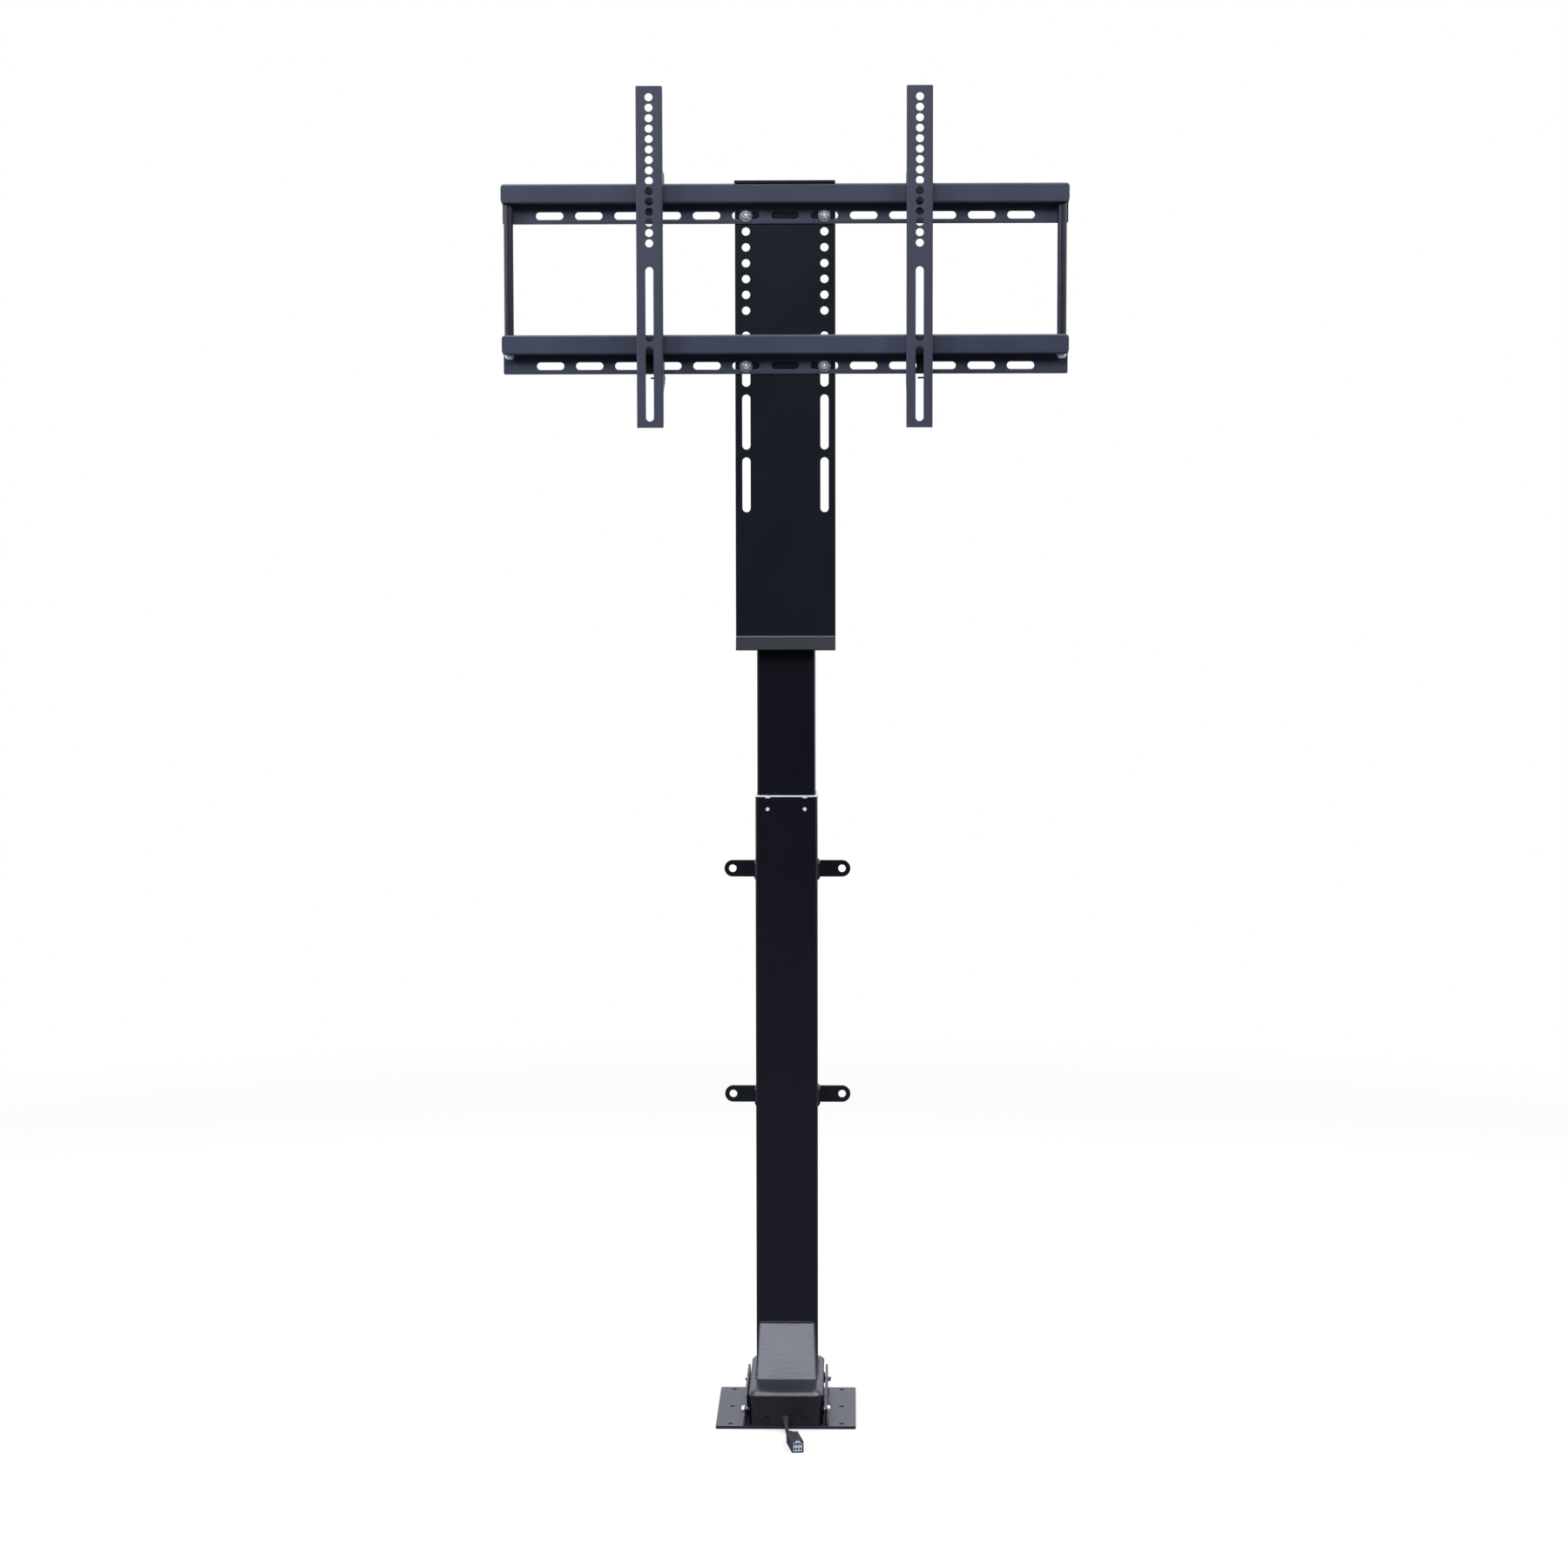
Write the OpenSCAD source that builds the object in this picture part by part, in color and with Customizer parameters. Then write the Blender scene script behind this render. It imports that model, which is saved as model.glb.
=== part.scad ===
// Motorised screen lift: a three stage telescoping column on a low base,
// with a slotted head plate, two rails, two side bars and two hanging arms.
// Millimetres, Z up, front towards -Y. Origin under the middle of the base plate.

/* [Base] */
// base plate width along X
base_w = 180; // [120:1:300]
// base plate depth along Y
base_d = 200; // [120:1:300]
// base plate thickness
base_t = 4; // [2:0.5:8]
// floor screw hole diameter
base_hole_d = 6.5; // [4:0.5:12]
// floor screw holes, half spacing along X
base_hole_x = 71.5; // [50:0.5:85]
// floor screw holes, spacing along Y
base_hole_y = 87.5; // [50:0.5:95]
// ear plate thickness
ear_t = 3; // [2:0.5:6]
// top of the ears above the floor
ear_top = 40; // [25:1:60]

/* [Motor housing] */
// housing half width
house_x = 48; // [40:0.5:60]
// housing front face
house_y0 = -98; // [-120:1:-60]
// housing back face
house_y1 = 110; // [60:1:140]
// housing top above the floor
house_top = 48; // [40:1:80]
// edge radius of the drawn shell
house_r = 11; // [4:0.5:20]
// sheet thickness of the shell
house_t = 1.5; // [1:0.1:3]

/* [Column] */
// column axis behind the base plate's middle
col_y = 41; // [20:0.5:60]
// outer tube, width across the flats
outer_w = 80; // [60:1:120]
// wall of the three tubes
wall = 1.5; // [1:0.1:3]
// space between one tube and the next, each side
slide_gap = 1; // [0.6:0.1:4]
// top of the outer tube above the floor
outer_top = 806; // [500:1:1200]
// travel of one stage out of the closed column in this pose
stage_out = 375; // [0:1:500]
// wall lug holes, half spacing along X
lug_x = 72; // [60:0.5:90]
// upper wall lug height
lug_z = 705; // [400:1:780]
// spacing of the upper and lower wall lugs
lug_pitch = 300; // [150:1:500]
// wall lug hole diameter
lug_hole_d = 10; // [6:0.5:12]

/* [Drive] */
// lower screw diameter
screw_d = 22; // [16:1:28]
// hollow upper screw diameter
screw2_d = 32; // [28:1:40]
// worm axis beside the screw axis
worm_x = -24; // [-30:0.5:-18]
// worm axis above the floor
worm_z = 23.5; // [20:0.5:30]
// teeth of the worm wheel
wheel_teeth = 30; // [20:1:40]
// gear module
gear_m = 1.2; // [0.8:0.1:2]

/* [Head frame] */
// head plate width
plate_w = 128; // [100:1:200]
// head plate thickness
plate_t = 3; // [2:0.5:6]
// head plate upper edge
plate_top = 1592; // [1200:1:2200]
// head plate lower edge
plate_bottom = 996; // [700:1:1500]
// back face of the head plate
plate_back = -8; // [-20:0.5:-4]
// rail length along X
rail_w = 720; // [400:1:1000]
// upper face of the top rail
rail_top = 1588.5; // [1200:0.5:2200]
// distance between the two rails
rail_pitch = 190; // [120:1:300]
// rail sheet thickness
rail_t = 2.5; // [1.5:0.5:4]
// slot pitch along the rails
slot_pitch = 50; // [30:1:80]
// slot length
slot_l = 35; // [20:1:45]
// slot height
slot_h = 9.5; // [6:0.5:12]
// side bar diameter
bar_d = 12; // [8:0.5:20]
// side bar axis in from the rails' ends
bar_inset = 8.5; // [6:0.5:40]

/* [Arms] */
// arm position either side of the middle
arm_x = 170.5; // [85:0.5:325]
// arm channel width
arm_w = 33; // [25:1:50]
// arm front face
arm_front = -62; // [-80:1:-50]
// arm lower end
arm_z0 = 1280.5; // [1100:0.5:1400]
// arm upper end
arm_z1 = 1708; // [1600:0.5:1900]
// arm hole diameter
arm_hole_d = 10; // [6:0.5:12]
// arm hole pitch
arm_hole_pitch = 13; // [10:0.5:25]

/* [Lead] */
// lead diameter
lead_d = 5; // [4:0.5:10]
// connector body width
conn_w = 15; // [10:0.5:25]

/* [Hidden] */
$fn = 48;
middle_w = outer_w - 2 * (wall + slide_gap);
inner_w = middle_w - 2 * (wall + slide_gap);
mid_closed = 60;
mid_len = 756;
mid_z0 = mid_closed + stage_out;
mid_z1 = mid_z0 + mid_len;
in_closed = 130;
in_len = 700;
in_z0 = in_closed + 2 * stage_out;
in_z1 = in_z0 + in_len;
outer_r = 5;
middle_r = 4;
inner_r = 3.5;
skin = 0.05;
skirt = 30;
foot_t = 12;
bearing_top = 20;
gearbox_top = 43;
screw_top = 604;
screw2_len = 612;
nut_d = middle_w - 31;
nut2_d = inner_w - 14;
tab_x = 0.3 * outer_w;
flange_z = in_z1 - 160;
flange_w = 64;
bar_x = rail_w / 2 - bar_inset;
bar_y = 14;
plate_front = plate_back - plate_t;
rail_front = plate_front - 28;
slot_z = rail_top - 38.5;
plate_slots = [1173.5, 1253.5, 1333.5];
plate_slot_l = 70;
arm_slots = [1288.5, 1388.5];
arm_slot_l = 94;
pin_d = 2.4;
bolt_x = 50;
arm_holes = 15;
arm_hole_z = 1694;
gap = 0.1;
ear_in = 50;
ear_bolt_z = 23;
front_hole_x = 25.4;
front_hole_z = 11.5;
front_hole_d = 6.8;
ear_flange_d = 11;
ear_hex_d = 9.8;
ear_head_h = 4.2;
ear_y0 = 3 - base_d / 2;
ear_y1 = base_d / 2 - 10;
ear_bolt_y = [ear_y0 + 10, ear_y1 - 13];
// centre line of the lead from the housing to the connector, on the floor
lead_path = [
    [0, -99, 12], [0.1, -103, 11.7], [0.35, -107, 10.9], [0.7, -111, 9.6],
    [1.1, -115, 7.9], [1.6, -119, 6.1], [2.2, -123, 4.5], [2.85, -127, 3.2],
    [3.5, -131, 2.65], [4.1, -135, 2.7], [4.75, -139, 3.6], [5.45, -143, 5.1],
    [6.1, -147, 6.7], [6.8, -151, 7.45], [7.5, -155, 7.5], [8.5, -161, 7.5]
];
lead_z = lead_path[0][2];
conn_at = lead_path[len(lead_path) - 1];
conn_turn = 9.5;

paint = [0.12, 0.12, 0.15];
arm_paint = [0.30, 0.31, 0.36];
zinc = [0.78, 0.79, 0.82];
steel = [0.55, 0.56, 0.58];
nylon = [0.93, 0.93, 0.94];
black = [0.06, 0.06, 0.07];

// flat rounded rectangle with true corner arcs
module rsq(w, d, r) {
    square([w - 2 * r, d], center = true);
    square([w, d - 2 * r], center = true);
    for (x = [-1, 1], y = [-1, 1])
        translate([x * (w / 2 - r), y * (d / 2 - r)]) circle(r);
}

// square tube or ring on the column axis
module ring(wo, ro, wi, ri, z0, z1) {
    translate([0, col_y, z0]) linear_extrude(z1 - z0) difference() {
        rsq(wo, wo, ro);
        rsq(wi, wi, ri);
    }
}

module disc(d, z0, z1) {
    translate([0, col_y, z0]) cylinder(d = d, h = z1 - z0);
}

// bar along X and bar along Y
module along_x(d, x0, x1, y, z) {
    translate([x0, y, z]) rotate([0, 90, 0]) cylinder(d = d, h = x1 - x0);
}
module along_y(d, y0, y1, x, z) {
    translate([x, y1, z]) rotate([90, 0, 0]) cylinder(d = d, h = y1 - y0);
}

// side profile in Y and Z, thick along X
module side_plate(x0, x1) {
    translate([x0, 0, 0]) rotate([90, 0, 90]) linear_extrude(x1 - x0) children();
}

// upright slot cut through in Y
module y_slot(x, z0, z1, w, y0, y1) {
    along_y(w, y0, y1, x, z0 + w / 2);
    along_y(w, y0, y1, x, z1 - w / 2);
    translate([x - w / 2, y0, z0 + w / 2]) cube([w, y1 - y0, z1 - z0 - w]);
}

module base_plate() {
    color(paint) difference() {
        linear_extrude(base_t) rsq(base_w, base_d, 3);
        for (x = [-1, 1], k = [-1, 0, 1])
            translate([x * base_hole_x, k * base_hole_y, -1])
                cylinder(d = base_hole_d, h = base_t + 2);
    }
}

module ear(s) {
    x0 = s > 0 ? ear_in : -ear_in - ear_t;
    color(paint) difference() {
        side_plate(x0, x0 + ear_t) polygon([
            [ear_y0, base_t], [ear_y0, ear_top - 15], [ear_y0 + 9, ear_top],
            [ear_y1 - 8, ear_top], [ear_y1, ear_top - 8], [ear_y1, base_t]]);
        for (y = ear_bolt_y) along_x(6.4, x0 - 1, x0 + ear_t + 1, y, ear_bolt_z);
    }
}
module ear_left() { ear(-1); }
module ear_right() { ear(1); }

module ear_bolt(s, y) {
    o = ear_in + ear_t;
    color(zinc) rotate([0, 0, s > 0 ? 0 : 180]) translate([0, s > 0 ? y : -y, 0]) {
        along_x(ear_flange_d, o, o + 1.2, 0, ear_bolt_z);
        translate([o + 1, 0, ear_bolt_z]) rotate([0, 90, 0]) cylinder(d = ear_hex_d, h = ear_head_h - 1.6, $fn = 6);
        along_x(0.7 * ear_hex_d, o + ear_head_h - 1, o + ear_head_h, 0, ear_bolt_z);
        along_x(6, o - 8.5, o + 1, 0, ear_bolt_z);
    }
}
module ear_bolt_front_left() { ear_bolt(-1, ear_bolt_y[0]); }
module ear_bolt_front_right() { ear_bolt(1, ear_bolt_y[0]); }
module ear_bolt_back_left() { ear_bolt(-1, ear_bolt_y[1]); }
module ear_bolt_back_right() { ear_bolt(1, ear_bolt_y[1]); }

// drawn shell body, shrunk by t on every side but the floor
module shell_body(t) {
    r = house_r - t;
    hull() for (x = [-1, 1], y = [house_y0 + house_r, house_y1 - house_r])
        translate([x * (house_x - house_r), y, 0]) {
            translate([0, 0, base_t]) cylinder(r = r, h = 1, $fn = 40);
            translate([0, 0, house_top - house_r]) sphere(r = r, $fn = 40);
        }
}

module motor_housing() {
    color(paint) difference() {
        union() {
            shell_body(0);
            for (s = [-1, 1], y = ear_bolt_y)
                along_x(14, s > 0 ? house_x - 1 : -ear_in + gap,
                    s > 0 ? ear_in - gap : 1 - house_x, y, ear_bolt_z);
        }
        difference() {
            shell_body(house_t);
            translate([-100, -200, -1]) cube([200, 400, 1]);
        }
        translate([-house_x + house_t, house_y0 + house_r, base_t - 2])
            cube([2 * (house_x - house_t), house_y1 - house_y0 - 2 * house_r, 6]);
        translate([0, col_y, 40]) linear_extrude(20) rsq(outer_w + 0.4, outer_w + 0.4, 5.2);
        for (y = ear_bolt_y) along_x(6.4, -60, 60, y, ear_bolt_z);
        for (x = [-front_hole_x, front_hole_x])
            along_y(front_hole_d, house_y0 - 2, house_y0 + 4, x, front_hole_z);
        along_y(8.6, house_y0 - 2, house_y0 + 4, 0, lead_z);
    }
}

// closed sheet ramp between the tube's front and the housing's top
module wedge(xt, xb, yb, yf, zt, zb) {
    polyhedron(
        [[-xt, yb, zt], [xt, yb, zt], [-xb, yf, zb], [xb, yf, zb], [-xb, yb, zb], [xb, yb, zb]],
        [[0, 1, 3, 2], [0, 4, 5, 1], [2, 3, 5, 4], [0, 2, 4], [1, 5, 3]]);
}

module ramp_cover() {
    f = col_y - outer_w / 2 - gap;
    color(paint) difference() {
        wedge(outer_w / 2 - 3.8, outer_w / 2 - 0.8, f, f - 34.9, house_top + 67.5, house_top + skin);
        wedge(outer_w / 2 - 5.4, outer_w / 2 - 2.6, f + 2, f - 31.4, house_top + 64, house_top - 2);
    }
}

module outer_tube() {
    f = col_y - outer_w / 2;
    color(paint) difference() {
        ring(outer_w, outer_r, outer_w - 2 * wall, outer_r - wall, house_top - house_t, outer_top);
        for (x = [-tab_x, tab_x]) {
            along_y(5.2, f - 1, f + 2, x, outer_top - 16);
            translate([x - 3.4, f - 1, outer_top - 1.6]) cube([6.8, outer_w + 2, 3]);
        }
    }
}

// angled wall lug: short leg on the tube's side, long leg facing the wall
module lug(s, z) {
    t = 3;
    b = col_y + outer_w / 2;
    x0 = outer_w / 2 + 0.05;
    color(paint) translate([0, 0, z]) mirror([s > 0 ? 0 : 1, 0, 0]) difference() {
        union() {
            translate([x0, b - t, -11]) cube([lug_x - x0, t, 22]);
            along_y(22, b - t, b, lug_x, 0);
            translate([x0, b - 24, -11]) cube([t, 22, 22]);
        }
        along_y(lug_hole_d, b - t - 1, b + 1, lug_x, 0);
    }
}
module lug_upper_left() { lug(-1, lug_z); }
module lug_upper_right() { lug(1, lug_z); }
module lug_lower_left() { lug(-1, lug_z - lug_pitch); }
module lug_lower_right() { lug(1, lug_z - lug_pitch); }

// nylon guide: rim on the tube's end and a skirt inside it
module guide(wo, ro, wi, ri, z) {
    inside = wo - 2 * wall - 0.3;
    ring(wo, ro, wi + 0.5, ri, z + skin, z + 2);
    ring(inside, ro - wall - 0.1, wi + 0.5, ri, z - skirt, z + 0.5);
}

module glide_collar() {
    f = col_y - outer_w / 2;
    color(nylon) {
        guide(outer_w, outer_r, middle_w, middle_r, outer_top);
        for (x = [-tab_x, tab_x], y = [f, f + outer_w - wall - 0.3])
            translate([x - 3.2, y, outer_top - 1.5]) cube([6.4, wall + 0.3, 2]);
    }
}

module glide_pip(x) {
    f = col_y - outer_w / 2;
    color(nylon) {
        along_y(5, f, f + wall, x, outer_top - 16);
        along_y(4, f - 0.5, f + 0.2, x, outer_top - 16);
    }
}
module glide_pip_left() { glide_pip(-tab_x); }
module glide_pip_right() { glide_pip(tab_x); }

module motor_can() {
    color(steel) difference() {
        union() {
            along_y(36, -86, -21, worm_x, worm_z);
            along_y(16, -90, -86, worm_x, worm_z);
        }
        along_y(8.6, -92, 0, worm_x, worm_z);
        along_y(33, -83, -20, worm_x, worm_z);
    }
}

module motor_end_bell() {
    color(steel) difference() {
        union() {
            along_y(36, -20.9, -12, worm_x, worm_z);
            translate([worm_x - 16, -12, worm_z - 17]) cube([32, 6, 32]);
        }
        along_y(8.2, -22, -5, worm_x, worm_z);
        along_y(26, -22, -15, worm_x, worm_z);
        for (x = [-1, 1], z = [-1, 1])
            along_y(3.4, -13, -5, worm_x + x * 12.5, worm_z - 1 + z * 12.5);
    }
}

module gearbox_case() {
    color(black) difference() {
        union() {
            translate([0, col_y, base_t + 0.1]) linear_extrude(28.9) rsq(66, 70, 6);
            translate([worm_x - 17, -5.9, base_t + 0.1]) cube([34, 84, 28.9]);
        }
        disc(42, 15, 40);
        disc(15.1, 6, 20);
        along_y(17, 14, 68, worm_x, worm_z);
        along_y(8.1, -10, 76, worm_x, worm_z);
        for (x = [-1, 1]) translate([x * 28, col_y + x * 30, 20]) cylinder(d = 3.4, h = 20);
    }
}

module gearbox_cap() {
    color(black) difference() {
        translate([0, col_y, 33.1]) linear_extrude(gearbox_top - 33.1) rsq(66, 70, 6);
        disc(32.1, gearbox_top - 8.9, gearbox_top + 7);
        disc(17, gearbox_top - 13, gearbox_top + 7);
        for (x = [-1, 1]) translate([x * 28, col_y + x * 30, 30]) cylinder(d = 3.4, h = 20);
    }
}

module spindle_bearing() {
    color(steel) difference() {
        disc(32, gearbox_top - 8.85, gearbox_top + 0.1);
        disc(15.1, gearbox_top - 13, gearbox_top + 7);
        translate([0, col_y, gearbox_top - 4.4]) rotate_extrude() translate([16.6, 0]) circle(1.8);
    }
}

// tapered bend protector with its flange in the front of the housing
module strain_relief() {
    color(black) difference() {
        union() {
            along_y(11, house_y0 - 2, house_y0, 0, lead_z);
            along_y(8.4, house_y0 - 1, house_y0 + 3, 0, lead_z);
            along_y(11, house_y0 + 1.6, house_y0 + 3, 0, lead_z);
            hull() {
                along_y(10, house_y0 - 3, house_y0 - 2, 0, lead_z);
                translate([0.9, -113, 8.9]) rotate([120, 0, 5]) cylinder(d = lead_d + 2, h = 1);
            }
        }
        lead_tube(lead_d + 0.3);
    }
}

// rings of points round the centre line, joined into one closed tube
module lead_tube(d) {
    n = 12;
    p = lead_path;
    last = len(p) - 1;
    function unit(v) = v / norm(v);
    function dir(i) = unit(p[min(i + 1, last)] - p[max(i - 1, 0)]);
    function spot(i) = i == 0 ? p[0] + [0, 8, 0.2] : p[i - 1];
    function way(i) = i == 0 ? dir(0) : dir(i - 1);
    function side(i) = unit(cross(way(i), [0, 0, 1]));
    function up(i) = cross(side(i), way(i));
    count = last + 2;
    points = [for (i = [0:count - 1], k = [0:n - 1])
        spot(i) + d / 2 * (cos(360 * k / n) * side(i) + sin(360 * k / n) * up(i))];
    sides = [for (i = [0:count - 2], k = [0:n - 1])
        [i * n + k, i * n + (k + 1) % n, (i + 1) * n + (k + 1) % n, (i + 1) * n + k]];
    ends = [[for (k = [n - 1:-1:0]) k], [for (k = [0:n - 1]) (count - 1) * n + k]];
    polyhedron(points, concat(sides, ends));
}

module lead() {
    color(black) lead_tube(lead_d);
}

module at_connector() {
    translate(conn_at) rotate([0, 0, conn_turn]) children();
}

module connector_shell() {
    w = conn_w;
    color(black) at_connector() difference() {
        union() {
            hull() {
                translate([0, 9, 0]) rotate([90, 0, 0]) cylinder(d = 10, h = 1);
                translate([-w / 2 + 1, -6, -w / 2 + 1]) cube([w - 2, 1, w - 2]);
            }
            translate([0, -5, 0]) rotate([90, 0, 0]) linear_extrude(47) rsq(w, w, 1.2);
        }
        translate([0, 10, 0]) rotate([90, 0, 0]) cylinder(d = lead_d + 0.4, h = 10.05);
        translate([-6.1, -53, -6.1]) cube([12.2, 21, 12.2]);
        translate([-3, -53, 5]) cube([6, 8, 5]);
    }
}

module connector_insert() {
    color(nylon) at_connector() difference() {
        union() {
            translate([-6, -51, -6]) cube([12, 19, 12]);
            translate([-2.6, -53, 5.6]) cube([5.2, 7.5, 1.8]);
        }
        for (x = [-3.8, 0, 3.8], z = [-3, 2.6])
            translate([x - 1.4, -52, z - 1.4]) cube([2.8, 14, 2.8]);
    }
}

// two start worm on its shaft, meshing with the wheel
module worm_shaft() {
    r0 = 4.6;
    r1 = 6.9;
    function rad(a) = let(b = abs(((a + 90) % 180) - 90)) b < 22 ? r1 : b < 40 ? r1 - (r1 - r0) * (b - 22) / 18 : r0;
    len_w = 15;
    turns = 360 * len_w / (2 * PI * gear_m);
    color(steel) {
        translate([worm_x, col_y, worm_z]) rotate([-90, 0, 0]) rotate([0, 0, -turns / 2])
            translate([0, 0, -len_w / 2]) linear_extrude(len_w, twist = -turns, slices = 60)
                polygon([for (a = [0:15:345]) rad(a) * [cos(a), sin(a)]]);
        along_y(8, -40, col_y - 7, worm_x, worm_z);
        along_y(8, col_y + 7, col_y + 34, worm_x, worm_z);
    }
}

// wheel with slightly inclined teeth, a tooth gap facing the worm
module worm_wheel() {
    rp = gear_m * wheel_teeth / 2;
    lean = 10 * 0.2 / rp * 180 / PI;
    step = 360 / wheel_teeth;
    color(nylon) translate([0, col_y, worm_z]) difference() {
        union() {
            rotate([0, 0, -lean / 2]) translate([0, 0, -5]) linear_extrude(10, twist = -lean, slices = 3)
                polygon([for (k = [0:wheel_teeth - 1], q = [[-4.2, -1.6], [-2.4, -1.6], [-1, 0.9], [1, 0.9], [2.4, -1.6], [4.2, -1.6]])
                    (rp + q[1]) * [cos((k + 0.5) * step + q[0]), sin((k + 0.5) * step + q[0])]]);
            cylinder(d = 24, h = 8.4);
        }
        translate([0, 0, -8]) cylinder(d = 15.1, h = 20);
    }
}

module lower_screw() {
    color(steel) difference() {
        union() {
            disc(15, base_t + 4, gearbox_top + 3);
            disc(26, gearbox_top + 0.3, gearbox_top + 4);
            disc(screw_d, gearbox_top + 4, screw_top);
            disc(14, screw_top, screw_top + 6);
        }
        translate([-2.6, col_y - screw_d / 2 - 9, mid_closed + 4]) cube([5.2, 11.2, screw_top - 44]);
        for (z = [gearbox_top + 4, screw_top - 2]) translate([0, col_y, z]) rotate_extrude() translate([screw_d / 2 + 0.4, 0]) circle(1.4);
    }
}

module middle_tube() {
    color(paint) ring(middle_w, middle_r, middle_w - 2 * wall, middle_r - wall, mid_z0, mid_z1);
}

module middle_foot() {
    w = middle_w - 2 * wall - 0.3;
    color(steel) translate([0, col_y, mid_z0 + 0.1]) difference() {
        linear_extrude(foot_t) rsq(w, w, 2.4);
        translate([0, 0, -1]) cylinder(d = screw_d + 10.4, h = foot_t + 2);
        for (x = [-1, 1], y = [-1, 1]) translate([x * (w / 2 - 8.85), y * (w / 2 - 8.85), -1])
            cylinder(d = 5.2, h = foot_t + 2);
    }
}

module lower_nut() {
    color([0.72, 0.58, 0.32]) difference() {
        union() {
            disc(nut_d, mid_z0 - 6, mid_z0);
            disc(screw_d + 10, mid_z0 - 0.1, mid_z0 + foot_t);
        }
        disc(screw_d + 0.1, mid_z0 - 8, mid_z0 + foot_t + 2);
        for (a = [0:90:270]) rotate_about(a) translate([nut_d / 2 - 3.5, col_y, mid_z0 - 8])
            cylinder(d = 3.4, h = 10);
    }
}

module rotate_about(a) {
    translate([0, col_y, 0]) rotate([0, 0, a]) translate([0, -col_y, 0]) children();
}

// nylon shoe under a tube's end with a skirt round the outside
module shoe(w, r, wo, hole, z) {
    ring(wo, r, hole, 6, z - 4, z - skin);
    ring(wo, r, w + 2 * skin, r, z - 0.1, z + 24);
}

module middle_glide() {
    color(nylon) shoe(middle_w, middle_r, outer_w - 2 * wall - 0.3, middle_w - 17, mid_z0);
}

module middle_collar() {
    color(nylon) guide(middle_w, middle_r, inner_w, inner_r, mid_z1);
}

module upper_bearing() {
    color(steel) difference() {
        disc(2 * screw_d, mid_z0 + foot_t + 0.15, mid_z0 + bearing_top);
        disc(screw_d + 2.6, mid_z0 + foot_t - 2, mid_z0 + bearing_top + 2);
        translate([0, col_y, mid_z0 + bearing_top - 4]) rotate_extrude() translate([screw_d + 0.6, 0]) circle(1.6);
    }
}

module upper_screw() {
    z0 = mid_z0 + bearing_top + gap;
    z1 = mid_z0 + screw2_len;
    color(steel) {
        difference() {
            union() {
                disc(screw2_d + 8, z0, z0 + 6);
                disc(screw2_d, z0 + 5, z1);
            }
            disc(screw_d + 0.8, z0 - 1, z1 + 8);
            translate([0, col_y, z1 - 1]) rotate_extrude() translate([screw2_d / 2 + 0.5, 0]) circle(1.5);
        }
        translate([-2, col_y - screw_d / 2 - 1, z0 + 0.5]) cube([4, 2.6, 5]);
    }
}

module inner_tube() {
    color(paint) ring(inner_w, inner_r, inner_w - 2 * wall, inner_r - wall, in_z0, in_z1);
}

module inner_foot() {
    w = inner_w - 2 * wall - 0.3;
    color(steel) translate([0, col_y, in_z0 + 0.1]) difference() {
        linear_extrude(foot_t) rsq(w, w, 1.9);
        translate([0, 0, -1]) cylinder(d = screw2_d + 12.4, h = foot_t + 2);
        for (x = [-1, 1], y = [-1, 1]) translate([x * (w / 2 - 7.35), y * (w / 2 - 7.35), -1])
            cylinder(d = 5.2, h = foot_t + 2);
    }
}

module upper_nut() {
    color([0.72, 0.58, 0.32]) difference() {
        union() {
            disc(nut2_d, in_z0 - 6, in_z0);
            disc(screw2_d + 12, in_z0 - 0.1, in_z0 + foot_t + 4);
        }
        disc(screw2_d + 0.1, in_z0 - 8, in_z0 + foot_t + 6);
        for (a = [45:90:315]) rotate_about(a) translate([nut2_d / 2 - 3, col_y, in_z0 - 8])
            cylinder(d = 3.4, h = 10);
    }
}

module inner_glide() {
    color(nylon) shoe(inner_w, inner_r, middle_w - 2 * wall - 0.3, inner_w - 12, in_z0);
}

// cap on the inner tube that carries the head plate in front of the column
module head_bracket() {
    b = plate_back;
    h = inner_w / 2 - 1;
    hole = inner_w - 15;
    color(paint) difference() {
        union() {
            translate([-h, b + skin, in_z1 + gap]) cube([2 * h, col_y + h - b, 5]);
            translate([-flange_w / 2, b + skin, flange_z]) cube([flange_w, 4.5, in_z1 + 4 - flange_z]);
            for (x = [-h, h - 4]) side_plate(x, x + 4) polygon([
                [b + skin, in_z1 + 5.1], [b + skin, in_z1 - 60], [b + 4, in_z1 - 60],
                [b + 8.8, in_z1 - 12], [b + 8.8, in_z1 + gap], [b + 40, in_z1 + 5.1]]);
            translate([0, col_y, in_z1 - 14]) linear_extrude(14.2)
                rsq(inner_w - 2 * wall - 0.4, inner_w - 2 * wall - 0.4, 1.9);
        }
        translate([0, col_y, in_z1 - 15]) linear_extrude(13) rsq(hole, hole, 3);
        for (z = [30, 80, 120]) along_y(12, b - 1, b + 6, 0, flange_z + z);
    }
}

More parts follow.
